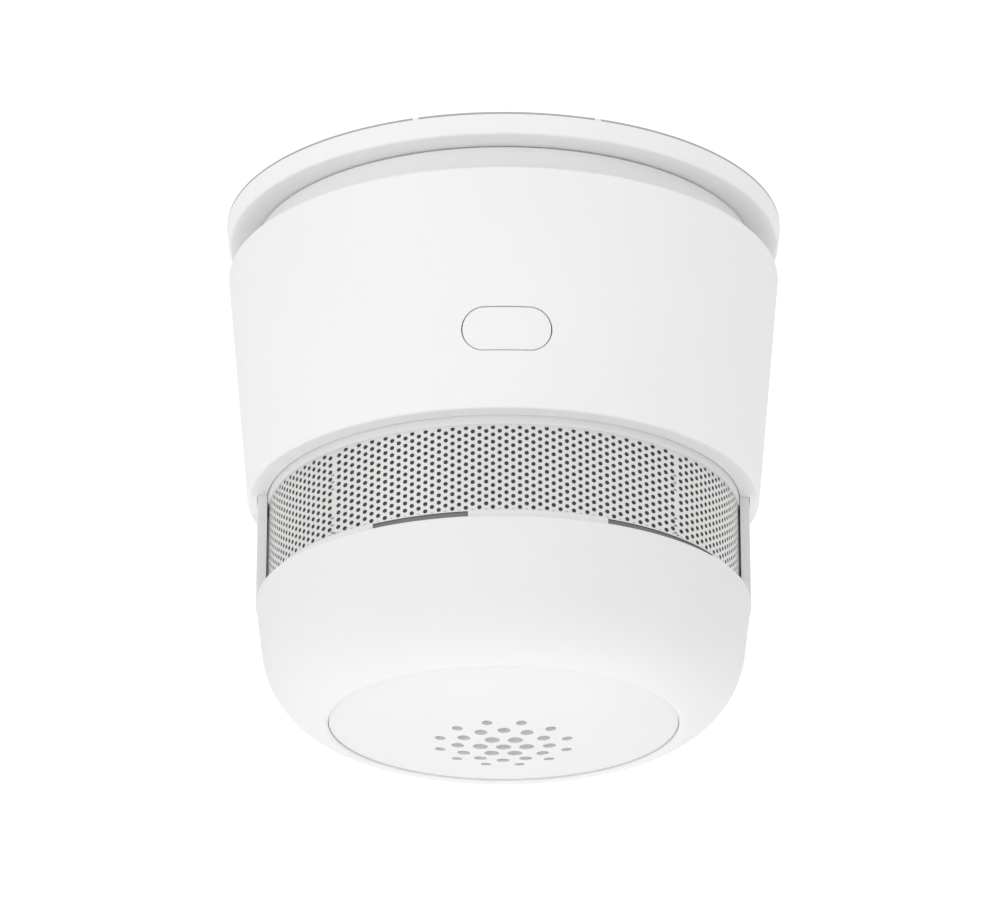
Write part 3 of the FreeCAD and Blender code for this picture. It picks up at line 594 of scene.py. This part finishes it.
class DETECTOR_OT_mounting_plate(Operator):
    """Ceiling plate with screw slots, foam recess and bayonet hooks"""
    bl_idname = "detector.mounting_plate"
    bl_label = "Ceiling plate"

    def execute(self, context):
        shape = context.scene.detector_shape
        r, foot, recess = PLATE_RADIUS, PLATE_FOOT, SEAL_FOOT
        inner = r - 3.2 * MM
        plate = turned("plate", rounded([
            (0, foot, 0), (r - 0.29 * MM, foot, shape.edge_radius), (r, recess, 0.05 * MM),
            (inner, recess, 0), (inner, 0, 0), (0, 0, 0)]))
        for x in (-20 * MM, 20 * MM):
            for half_width, low, high in (
                    (2.2 * MM, foot - MM, MM), (3.2 * MM, foot - MM, foot + 1.3 * MM)):
                hole = rounded_bar(6 * MM + 2 * half_width, 2 * half_width, 0, high - low, 0)
                pick(hole)
                hole.rotation_euler.x = math.radians(90)
                hole.location = (x, 0, low)
                bpy.ops.object.transform_apply(location=True, rotation=True, scale=True)
                carved(plate, hole)
        half_lug = math.degrees(0.35 * MM / r)
        for bearing in LUG_BEARINGS:
            lug = sector("lug", inner - 0.2 * MM, r - 0.02 * MM, recess - 0.1 * MM, 0,
                         bearing - half_lug, 2 * half_lug, steps=2)
            carved(plate, lug, "UNION")
        hook_low, hook_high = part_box("mounting_plate")[0].z, NECK_TOP - 1.6 * MM - TURN_GAP
        hook_in = hook_inner()
        for bearing in HOOK_BEARINGS:
            first = bearing - HOOK_SPAN / 2
            upright = sector(
                "stem", hook_in, hook_in + 1.2 * MM, hook_low, foot + 0.2 * MM, first, HOOK_SPAN)
            carved(plate, upright, "UNION")
            toe = sector(
                "toe", hook_in + 0.6 * MM, hook_in + 2.6 * MM, hook_low, hook_high, first, HOOK_SPAN)
            carved(plate, toe, "UNION")
        done(plate, "ceiling_plate_shell", PLATE, ["mounting_plate"],
             finish("white_mount"))
        return {"FINISHED"}


def neck_outer():
    """The neck stands inside the housing's top edge."""
    return COLLAR_RADIUS - 3.0 * MM


def hook_inner():
    return neck_outer() - 1.6 * MM - 3.0 * MM


def boss_place(bearing):
    return at(neck_outer() - 1.6 * MM - 1.4 * MM, bearing)


class DETECTOR_OT_seal_ring(Operator):
    """Foam seal between the plate and the ceiling"""
    bl_idname = "detector.seal_ring"
    bl_label = "Foam seal"

    def execute(self, context):
        r = PLATE_RADIUS
        half_lug = math.degrees(0.37 * MM / r)
        arcs = []
        for n, bearing in enumerate(LUG_BEARINGS):
            span = (LUG_BEARINGS[(n + 1) % 4] - bearing) % 360 - 2 * half_lug
            arcs.append(sector("foam", r - 3.15 * MM, r - 0.02 * MM, SEAL_FOOT + 0.005 * MM, 0,
                               bearing + half_lug, span, steps=int(span)))
        foam = merged(arcs[0], arcs[1:])
        done(foam, "foam_seal", PLATE, ["seal_ring"], finish("grey_foam"))
        return {"FINISHED"}


class DETECTOR_OT_rear_housing(Operator):
    """Back of the housing with its neck, hook windows and screw pillars"""
    bl_idname = "detector.rear_housing"
    bl_label = "Rear housing"

    def execute(self, context):
        low = foot_of("rear_housing")
        neck, inner = neck_outer(), neck_outer() - 1.6 * MM
        flange_top = COLLAR_TOP - 1.7 * MM
        flange_foot = flange_top - 1.6 * MM
        flange = radius_of("rear_housing")
        shell = turned("neck", rounded([
            (0, NECK_TOP, 0), (neck, NECK_TOP, 0.3 * MM), (neck, flange_top, 0.15 * MM),
            (flange, flange_top, 0), (flange, flange_foot, 0), (inner, flange_foot, 0),
            (inner, NECK_TOP - 1.6 * MM, 0.3 * MM), (0, NECK_TOP - 1.6 * MM, 0)]))
        for bearing in BOSS_BEARINGS:
            carved(shell, rod(2.8 * MM, low, NECK_TOP - 0.8 * MM, boss_place(bearing)), "UNION")
        hook = hook_inner()
        z0, z1 = NECK_TOP - 2.6 * MM, NECK_TOP + MM
        for bearing in HOOK_BEARINGS:
            first = bearing - HOOK_SPAN / 2 - HOOK_ROOM
            carved(shell, sector(
                "narrow", hook - 0.2 * MM, hook + 1.4 * MM, z0, z1,
                first, HOOK_SPAN + TWIST_TURN + 2 * HOOK_ROOM))
            carved(shell, sector(
                "wide", hook - 0.25 * MM, hook + 2.8 * MM, z0, z1,
                first + TWIST_TURN, HOOK_SPAN + 2 * HOOK_ROOM + 0.05))
        head = low + 10 * MM / 3
        for bearing in BOSS_BEARINGS:
            carved(shell, rod(2.2 * MM, head, NECK_TOP + MM, boss_place(bearing)))
            carved(shell, rod(1.25 * MM, low - MM, head + 0.1 * MM, boss_place(bearing)))
        done(shell, "rear_shell", BODY, ["rear_housing"], finish("white_mount"))
        return {"FINISHED"}


def collar_radius(shape, z):
    """Outer radius of the tapered housing at a height."""
    share = (COLLAR_TOP - z) / (COLLAR_TOP - COLLAR_FOOT)
    return COLLAR_RADIUS + (shape.collar_foot_radius - COLLAR_RADIUS) * share


def button_size():
    low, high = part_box("test_button")
    return 9.85 * MM, high.z - low.z, (low.z + high.z) / 2


class DETECTOR_OT_upper_housing(Operator):
    """Tapered housing with its button opening, board shelf and screw bosses"""
    bl_idname = "detector.upper_housing"
    bl_label = "Upper housing"

    def execute(self, context):
        shape = context.scene.detector_shape
        wall, edge = shape.shell_wall, shape.edge_radius
        opening = RING_RADIUS + 0.05 * MM
        shelf_inner = opening - 1.3 * MM
        shell = turned("collar", rounded([
            (COLLAR_RADIUS, COLLAR_TOP, edge), (shape.collar_foot_radius, COLLAR_FOOT, edge),
            (opening, COLLAR_FOOT, 0.12 * MM), (opening, SHELF_FOOT, 0), (shelf_inner, SHELF_FOOT, 0),
            (shelf_inner, BOARD_FOOT, 0), (collar_radius(shape, BOARD_FOOT) - wall, BOARD_FOOT, 0),
            (COLLAR_RADIUS - wall, COLLAR_TOP, 0.3 * MM)]), steps=384)
        boss_low, boss_high = BOARD_TOP + 0.9 * MM, foot_of("rear_housing")
        web_outer = collar_radius(shape, boss_low) - wall / 2
        for bearing in BOSS_BEARINGS:
            centre = boss_place(bearing)
            web = block(
                (-1.2 * MM, -web_outer, boss_low + 0.01 * MM),
                (1.2 * MM, -centre.length, boss_high - 0.01 * MM))
            placed(web, math.radians(bearing))
            carved(shell, web, "UNION")
            carved(shell, rod(2.8 * MM, boss_low, boss_high, centre), "UNION")
            carved(shell, rod(1.1 * MM, boss_high - 7.3 * MM, boss_high + MM, centre))
        for bearing in PAD_BEARINGS:
            pad = sector("pad", shelf_inner - 2.4 * MM, shelf_inner + 0.5 * MM, SHELF_FOOT + 0.01 * MM,
                         BOARD_FOOT - 0.01 * MM, bearing - 7, 14, steps=8)
            carved(shell, pad, "UNION")
            place = at(radius_of("main_board") - 1.5 * MM, bearing)
            carved(shell, rod(MM, SHELF_FOOT - MM, BOARD_TOP, place, sides=24))
        width, height, z = button_size()
        gap = 0.13 * MM
        opening_bar = rounded_bar(width + 2 * gap, height + 2 * gap, -40 * MM, -25.5 * MM, z)
        carved(shell, opening_bar)
        for side in (-90, 90):
            half = math.degrees(shape.leg_width / 2 / COVER_RADIUS)
            pocket = sector("pocket", COVER_RADIUS - 1.1 * MM, COVER_RADIUS + 0.05 * MM, COLLAR_FOOT - MM,
                            LEG_TOP + 0.05 * MM, side - half, 2 * half, steps=8)
            carved(shell, pocket)
        done(shell, "upper_shell", BODY, ["upper_housing"], finish("white_mount"))
        return {"FINISHED"}


class DETECTOR_OT_test_button(Operator):
    """Flush oval test button with its retaining wings"""
    bl_idname = "detector.test_button"
    bl_label = "Test button"

    def execute(self, context):
        shape = context.scene.detector_shape
        width, height, z = button_size()
        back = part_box("test_button")[1].y
        cap = rounded_bar(width, height, -40 * MM, back, z)
        low, high = z - 4 * MM, z + 4 * MM
        skin = turned("skin", [Vector(p) for p in (
            (0, low), (collar_radius(shape, low), low),
            (collar_radius(shape, high), high), (0, high))], steps=384)
        carved(cap, skin, "INTERSECT")
        edged(cap, 0.14 * MM, segments=3, angle=50)
        wing_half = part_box("test_button")[1].x
        wall = shape.shell_wall + 0.12 * MM
        wing = block((-wing_half, -40 * MM, z - 1.6 * MM), (wing_half, back, z + 1.6 * MM))
        inside = turned("inside", [Vector(p) for p in (
            (0, low), (collar_radius(shape, low) - wall, low),
            (collar_radius(shape, high) - wall, high), (0, high))], steps=192)
        carved(wing, inside, "INTERSECT")
        carved(cap, wing, "UNION")
        done(cap, "test_button_cap", "button", ["test_button"], finish("white_mount"))
        return {"FINISHED"}


class DETECTOR_OT_light_ring(Operator):
    """Milky ring that shows the alarm's state"""
    bl_idname = "detector.light_ring"
    bl_label = "Light ring"

    def execute(self, context):
        inner = RING_RADIUS - 1.6 * MM
        ring = turned("ring", rounded([
            (RING_RADIUS, RING_TOP, 0), (RING_RADIUS, RING_FOOT, 0.18 * MM),
            (inner, RING_FOOT, 0), (inner, RING_TOP, 0)]))
        done(ring, "light_ring_diffuser", BODY, ["light_ring"], finish("milky_ring"))
        return {"FINISHED"}


class DETECTOR_OT_insect_screen(Operator):
    """Perforated metal band in four panels"""
    bl_idname = "detector.insect_screen"
    bl_label = "Insect screen"

    def execute(self, context):
        pattern = context.scene.detector_screen
        panel = self.flat_panel(pattern)
        self.wrap(panel, pattern)
        # A dark sheet just behind the screen: painted shade that gives the holes the tone of the shaded
        # inside
        self.band("screen_gauze", SCREEN_RADIUS - 0.28 * MM, SCREEN_RADIUS - pattern.sheet - 0.02 * MM,
                  SCREEN_FOOT, RING_FOOT, "dark_gauze")
        inner, outer = SCREEN_RADIUS - pattern.sheet, SCREEN_RADIUS
        self.band("screen_lower_hem", inner, outer, SCREEN_FOOT, SCREEN_FOOT + pattern.hem, "screen_metal")
        self.band("screen_upper_hem", inner, outer, RING_FOOT - pattern.hem, RING_FOOT, "screen_metal")
        # Grey tabs in the notches: painted shade for the shadow inside each notch
        for n, (bearing, span) in enumerate(NOTCHES):
            self.notch_shade_tab(n + 1, bearing - span / 2 + 0.2, span - 0.4)
        for n in range(4):
            copy = panel if n == 3 else panel.copy()
            if n < 3:
                copy.data = panel.data.copy()
                context.scene.collection.objects.link(copy)
            placed(copy, math.radians(90 * n))
            done(copy, f"screen_panel_{n + 1}", BODY, ["insect_screen"],
                 finish("screen_metal"))
        return {"FINISHED"}

    def band(self, name, inner, outer, low, high, material):
        ring = turned(name, [Vector(p) for p in ((inner, low), (outer, low), (outer, high), (inner, high))])
        done(ring, name, BODY, ["insect_screen"], finish(material))

    def notch_shade_tab(self, number, bearing, span):
        """A grey tab in a notch of the retaining ring: painted shade, its grey standing for the shadow in
        the recess.
        """
        web = RETAINER_RADIUS - RETAINER_WALL + NOTCH_WEB
        tab = sector(f"gauze_tab_{number}", web, SCREEN_RADIUS - 0.15 * MM,
                     SCREEN_FOOT - NOTCH_DEPTH + 0.02 * MM, SCREEN_FOOT - 0.02 * MM, bearing, span)
        done(tab, tab.name, BODY, ["insect_screen"], finish("gauze_edge"))

    def flat_panel(self, pattern):
        """Hexagonal cells, each with one round hole, repeated over a flat sheet in the XZ plane."""
        corner = pattern.row_pitch / math.sqrt(3)
        column_pitch = corner * 1.5
        start()
        bpy.ops.mesh.primitive_circle_add(vertices=12, radius=pattern.hole_radius)
        obj = bpy.context.active_object
        edit(obj)
        bpy.ops.mesh.select_all(action="SELECT")
        grow = corner / pattern.hole_radius
        bpy.ops.mesh.extrude_region_move()
        bpy.ops.transform.resize(value=(grow, grow, 1), center_override=(0, 0, 0))
        select_where(obj, lambda co: (
            co.length > 0.9 * corner and abs(math.cos(3 * math.atan2(co.y, co.x))) < 0.5))
        flat = math.sqrt(3) / 2
        bpy.ops.transform.resize(value=(flat, flat, 1), center_override=(0, 0, 0))
        bpy.ops.mesh.select_all(action="SELECT")
        half_row = pattern.row_pitch / 2
        bpy.ops.mesh.duplicate_move(TRANSFORM_OT_translate={"value": (column_pitch, half_row, 0)})
        bpy.ops.object.mode_set(mode="OBJECT")
        height = RING_FOOT - SCREEN_FOOT
        rows = int(height / pattern.row_pitch) + 4
        self.repeat(obj, pattern.columns // 2 + 1, (2 * column_pitch, 0, 0))
        self.repeat(obj, rows, (0, pattern.row_pitch, 0))
        edit(obj)
        bpy.ops.mesh.select_all(action="SELECT")
        bpy.ops.mesh.remove_doubles(threshold=1e-6)
        bpy.ops.object.mode_set(mode="OBJECT")
        obj.rotation_euler.x = math.radians(90)
        first = -(pattern.columns // 2) * column_pitch
        middle = (RING_FOOT + SCREEN_FOOT) / 2 - 0.4 * MM + half_row
        obj.location = (first, -SCREEN_RADIUS - MM, middle - (rows // 2) * pattern.row_pitch)
        bpy.ops.object.transform_apply(location=True, rotation=True, scale=True)
        self.trim(obj, pattern)
        return obj

    def repeat(self, obj, count, offset):
        pick(obj)
        modifier = obj.modifiers.new("repeat", "ARRAY")
        modifier.count = count
        modifier.use_relative_offset = False
        modifier.use_constant_offset = True
        modifier.constant_offset_displace = offset
        bpy.ops.object.modifier_apply(modifier=modifier.name)

    def trim(self, obj, pattern):
        """Straight upper and lower edges, and blank margins out to the seams."""
        edit(obj)
        for z, side in ((RING_FOOT - pattern.hem, 1), (SCREEN_FOOT + pattern.hem, -1)):
            bpy.ops.mesh.select_all(action="SELECT")
            bpy.ops.mesh.bisect(plane_co=(0, 0, z), plane_no=(0, 0, side), clear_outer=True, threshold=1e-7)
        seam = SCREEN_RADIUS * math.sin(math.radians(45))
        corner = pattern.row_pitch / math.sqrt(3)
        last = pattern.columns // 2 * corner * 1.5 + corner
        select_where(obj, lambda co: co.x > last + 0.01 * MM)
        bpy.ops.mesh.delete(type="VERT")
        bpy.ops.object.mode_set(mode="OBJECT")
        xs = [v.co.x for v in obj.data.vertices]
        for side, edge in ((-1, min(xs)), (1, max(xs))):
            select_where(obj, lambda co: (co.x - edge) * -side < corner * 0.52)
            bpy.ops.mesh.select_mode(type="EDGE")
            bpy.ops.mesh.extrude_region_move()
            bpy.ops.transform.resize(value=(0, 1, 1), center_override=(side * seam, 0, 0))
            bpy.ops.mesh.select_mode(type="VERT")
        bpy.ops.mesh.select_all(action="SELECT")
        bpy.ops.mesh.remove_doubles(threshold=3e-6)
        bpy.ops.mesh.normals_make_consistent(inside=False)
        bpy.ops.object.mode_set(mode="OBJECT")

    def wrap(self, obj, pattern):
        """Lays the flat sheet on the round body, straight back along Y, and gives it thickness."""
        start()
        depth = (RING_FOOT - SCREEN_FOOT) + 4 * MM
        bpy.ops.mesh.primitive_cylinder_add(
            vertices=1024, radius=SCREEN_RADIUS, depth=depth,
            location=(0, 0, (RING_FOOT + SCREEN_FOOT) / 2))
        former = bpy.context.active_object
        pick(obj)
        modifier = obj.modifiers.new("lay", "SHRINKWRAP")
        modifier.target = former
        modifier.wrap_method = "PROJECT"
        modifier.use_project_x = False
        modifier.use_project_y = True
        modifier.use_project_z = False
        modifier.use_positive_direction = True
        modifier.use_negative_direction = False
        bpy.ops.object.modifier_apply(modifier=modifier.name)
        bpy.data.objects.remove(former)
        pick(obj)
        modifier = obj.modifiers.new("sheet", "SOLIDIFY")
        modifier.thickness = pattern.sheet
        modifier.offset = -1 if obj.data.polygons[0].normal.y < 0 else 1
        bpy.ops.object.modifier_apply(modifier=modifier.name)


class DETECTOR_OT_retaining_ring(Operator):
    """Notched ring that holds the screen's lower edge"""
    bl_idname = "detector.retaining_ring"
    bl_label = "Retaining ring"

    def execute(self, context):
        outer, inner = RETAINER_RADIUS, RETAINER_RADIUS - RETAINER_WALL
        ring = turned("retainer", rounded([
            (outer, SCREEN_FOOT, 0.1 * MM), (outer, RETAINER_FOOT, 0), (inner, RETAINER_FOOT, 0),
            (inner, SCREEN_FOOT, 0)]))
        for bearing, span in NOTCHES:
            notch = sector("notch", inner + NOTCH_WEB, outer + MM, SCREEN_FOOT - NOTCH_DEPTH,
                           SCREEN_FOOT + MM, bearing - span / 2, span)
            carved(ring, notch)
        done(ring, "retaining_ring_shell", BODY, ["retaining_ring"], finish("white_shell"))
        return {"FINISHED"}


class DETECTOR_OT_front_cover(Operator):
    """Rounded cover with its rim, sounder ledge and two legs"""
    bl_idname = "detector.front_cover"
    bl_label = "Front cover"

    def execute(self, context):
        shape = context.scene.detector_shape
        lip_z, wall = shape.lip_height, shape.cover_wall
        outer, seat = COVER_RADIUS, GRILLE_RADIUS + 0.05 * MM
        shoulder = Vector((outer - 0.76 * MM, lip_z - 5.76 * MM))
        rim_z = APEX + 2.87 * MM - 0.36 * MM
        edge = Vector((shape.rim_radius, rim_z + 0.05 * MM))
        inside = Vector((RETAINER_RADIUS + 0.05 * MM, lip_z))
        step_in = Vector((RETAINER_RADIUS - 1.1 * MM, RETAINER_FOOT))
        in_shoulder = Vector((shoulder.x - wall, min(shoulder.y, RETAINER_FOOT - 1.2 * MM)))
        in_edge = Vector((shape.rim_radius - 0.3 * MM, RESONATOR_FOOT))
        ledge = radius_of("resonator_housing") - 1.4 * MM
        corners = [(outer, lip_z, 0.22 * MM), (*shoulder, 0)]
        corners += [(*p, 0) for p in bulged(shoulder, edge, 1.57 * MM, 28)]
        corners += [(*edge, 0)]
        corners += [(*p, 0) for p in bulged(edge, (seat, rim_z + 0.16 * MM), 0.16 * MM, 8)]
        corners += [(seat, rim_z + 0.16 * MM, 0), (seat, GRILLE_SEAT, 0), (ledge, GRILLE_SEAT, 0.1 * MM),
                    (ledge, RESONATOR_FOOT, 0), (*in_edge, 0)]
        corners += [(*p, 0) for p in bulged(in_edge, in_shoulder, -1.18 * MM, 20)]
        corners += [(*in_shoulder, 0), (*step_in, 0), (inside.x, RETAINER_FOOT, 0), (*inside, 0)]
        cover = turned("cover", rounded(corners), steps=384)
        half = math.degrees(shape.leg_width / 2 / outer)
        for side in (-90, 90):
            leg = sector("leg", outer - LEG_THICKNESS, outer - 0.01 * MM, lip_z - 0.6 * MM, LEG_TOP,
                         side - half, 2 * half, steps=12)
            carved(cover, leg, "UNION")
        done(cover, "front_cover_shell", BODY, ["front_cover"], finish("white_shell"))
        return {"FINISHED"}


class DETECTOR_OT_sounder_grille(Operator):
    """Domed disc with its pattern of sound holes and the membrane behind it"""
    bl_idname = "detector.sounder_grille"
    bl_label = "Sounder grille"

    rings = ((1, 0.0, 0.0, 0.87), (6, 2.62, 30.0, 0.86), (12, 5.18, 0.0, 0.74), (12, 7.42, 15.0, 0.61))

    def execute(self, context):
        rise, wall = 2.87 * MM, 1.4 * MM
        radius = (GRILLE_RADIUS ** 2 + rise ** 2) / (2 * rise)
        centre_z = APEX + radius
        front = self.dome(radius, centre_z, GRILLE_RADIUS, 40)
        seat_inner = GRILLE_RADIUS - 1.6 * MM
        back = self.dome(radius - wall, centre_z, seat_inner, 24)
        corners = [(*p, 0) for p in front[:-1]] + [(*front[-1], 0.18 * MM)]
        corners += [(GRILLE_RADIUS, GRILLE_SEAT, 0), (seat_inner, GRILLE_SEAT, 0)]
        corners += [(*p, 0) for p in reversed(back)]
        disc = turned("disc", rounded(corners))
        holes = []
        for count, ring_radius, first, hole in self.rings:
            for n in range(count):
                place = at(ring_radius * MM, first + 360.0 / count * n)
                holes.append(rod(hole * MM, APEX - MM, GRILLE_SEAT + MM, place, sides=40))
        carved(disc, merged(holes[0], holes[1:]))
        done(disc, "sounder_disc", BODY, ["sounder_grille"], finish("white_disc"))
        self.membrane(radius - wall - 0.05 * MM, centre_z)
        return {"FINISHED"}

    def dome(self, radius, centre_z, reach, steps):
        """Points from the axis out along a dome's face."""
        span = math.asin(reach / radius)
        return [Vector((radius * math.sin(span * k / steps),
                        centre_z - radius * math.cos(span * k / steps)))
                for k in range(steps + 1)]

    def membrane(self, radius, centre_z):
        reach = radius_of("dust_membrane")
        face = self.dome(radius, centre_z, reach, 16)
        rear = self.dome(radius - 0.25 * MM, centre_z, reach, 16)
        cloth = turned("membrane", face + rear[::-1], steps=96)
        done(cloth, "dust_membrane_cloth", BODY, ["dust_membrane"], finish("membrane_cloth"))


class DETECTOR_OT_finishes(Operator):
    """Finishes of the inner parts that keep their designed shape"""
    bl_idname = "detector.finishes"
    bl_label = "Inner finishes"

    def execute(self, context):
        for name, material in CAD_FINISHES.items():
            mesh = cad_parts[name].data
            if not mesh.materials:
                mesh.materials.append(finish(material))
            for n in range(len(mesh.materials)):
                mesh.materials[n] = finish(material)
        return {"FINISHED"}


# name, place in metres, disc diameter in metres, power in watts
LIGHTS = (
    ("front_light", (0, -0.5, -0.7), 0.8, 1.2),
    ("left_light", (-1.0, -0.9, -0.35), 1.4, 2.6),
    ("under_light", (0, 0.25, -0.74), 0.8, 2.9),
)
FLOOR_HEIGHT = -0.78
LIGHT_AIM = (0, 0, -0.035)


class DETECTOR_OT_stage(Operator):
    """Pale floor, soft light and the camera"""
    bl_idname = "detector.stage"
    bl_label = "Studio"

    def execute(self, context):
        studio = context.scene.detector_studio
        self.floor()
        self.world(context)
        for name, place, size, power in LIGHTS:
            self.light(name, place, size, power)
        camera = bpy.data.objects.new("camera", bpy.data.cameras.new("camera"))
        context.scene.collection.objects.link(camera)
        along, turn = studio.distance, studio.bearing
        camera.location = (-along * math.sin(turn), -along * math.cos(turn), -studio.drop)
        camera.rotation_euler = (math.radians(90) + studio.pitch, 0, -turn)
        camera.data.lens = studio.lens
        camera.data.sensor_width = 36
        camera.data.shift_x = -0.004
        camera.data.clip_start = 0.01
        context.scene.camera = camera
        context.scene.view_settings.view_transform = "Standard"
        return {"FINISHED"}

    def floor(self):
        start()
        bpy.ops.mesh.primitive_plane_add(size=12, location=(0, 0, FLOOR_HEIGHT))
        floor = bpy.context.active_object
        floor.name = "studio_floor"
        paper = moulded("studio_paper", (0.85, 0.85, 0.85), (0.82, 0.82, 0.82),
                        gloss=0.8, grain=400.0, mottle=2.0)
        floor.data.materials.append(paper)

    def light(self, name, place, size, power):
        lamp = bpy.data.objects.new(name, bpy.data.lights.new(name, "AREA"))
        bpy.context.scene.collection.objects.link(lamp)
        lamp.data.shape = "DISK"
        lamp.data.size = size
        lamp.data.energy = power
        lamp.location = place
        aim = Vector(LIGHT_AIM) - Vector(place)
        lamp.rotation_euler = aim.to_track_quat("-Z", "Y").to_euler()

    def world(self, context):
        world = bpy.data.worlds.new("studio_air")
        world.use_nodes = True
        tree = world.node_tree
        back = tree.nodes["Background"]
        back.inputs["Color"].default_value = (1, 1, 1, 1)
        place = node(tree, "ShaderNodeTexCoord")
        way = node(tree, "ShaderNodeSeparateXYZ", [(0, place.outputs["Generated"])])
        below = node(tree, "ShaderNodeMapRange", [
            (0, way.outputs["Z"]), (1, -1.0), (2, 1.0), (3, 1.25), (4, 0.75)])
        front = node(tree, "ShaderNodeMapRange", [
            (0, way.outputs["Y"]), (1, -1.0), (2, 1.0), (3, 1.1), (4, 1.0)])
        both = node(tree, "ShaderNodeMath", [
            (0, below.outputs[0]), (1, front.outputs[0])], operation="MULTIPLY")
        path = node(tree, "ShaderNodeLightPath")
        seen = node(tree, "ShaderNodeMix", [
            (0, path.outputs["Is Camera Ray"]), (2, both.outputs[0]), (3, 1.1)])
        tree.links.new(seen.outputs[0], back.inputs["Strength"])
        context.scene.world = world


class DETECTOR_PT_panel(Panel):
    """Lists the pieces in the order they are made"""
    bl_label = "Smoke detector"
    bl_space_type = "VIEW_3D"
    bl_region_type = "UI"
    bl_category = "Detector"

    def draw(self, context):
        column = self.layout.column()
        for operator in OPERATORS:
            column.operator(operator.bl_idname)
        for group in (context.scene.detector_shape, context.scene.detector_screen,
                      context.scene.detector_finish, context.scene.detector_studio):
            for key in group.bl_rna.properties.keys():
                if key not in ("rna_type", "name"):
                    column.prop(group, key)


OPERATORS = (
    DETECTOR_OT_stage, DETECTOR_OT_mounting_plate, DETECTOR_OT_seal_ring, DETECTOR_OT_rear_housing,
    DETECTOR_OT_upper_housing, DETECTOR_OT_test_button, DETECTOR_OT_light_ring, DETECTOR_OT_insect_screen,
    DETECTOR_OT_retaining_ring, DETECTOR_OT_front_cover, DETECTOR_OT_sounder_grille, DETECTOR_OT_finishes,
)
CLASSES = (DetectorShape, ScreenPattern, DetectorFinish, StudioSettings, *OPERATORS, DETECTOR_PT_panel)


def register():
    for made in CLASSES:
        bpy.utils.register_class(made)
    bpy.types.Scene.detector_shape = PointerProperty(type=DetectorShape)
    bpy.types.Scene.detector_screen = PointerProperty(type=ScreenPattern)
    bpy.types.Scene.detector_finish = PointerProperty(type=DetectorFinish)
    bpy.types.Scene.detector_studio = PointerProperty(type=StudioSettings)


def unregister():
    for key in ("detector_shape", "detector_screen", "detector_finish", "detector_studio"):
        delattr(bpy.types.Scene, key)
    for made in reversed(CLASSES):
        bpy.utils.unregister_class(made)


def main():
    """Builds everything in order."""
    register()
    bpy.ops.detector.stage()
    bpy.ops.detector.mounting_plate()
    bpy.ops.detector.seal_ring()
    bpy.ops.detector.rear_housing()
    bpy.ops.detector.upper_housing()
    bpy.ops.detector.test_button()
    bpy.ops.detector.light_ring()
    bpy.ops.detector.insect_screen()
    bpy.ops.detector.retaining_ring()
    bpy.ops.detector.front_cover()
    bpy.ops.detector.sounder_grille()
    bpy.ops.detector.finishes()


if __name__ == "__main__":
    main()
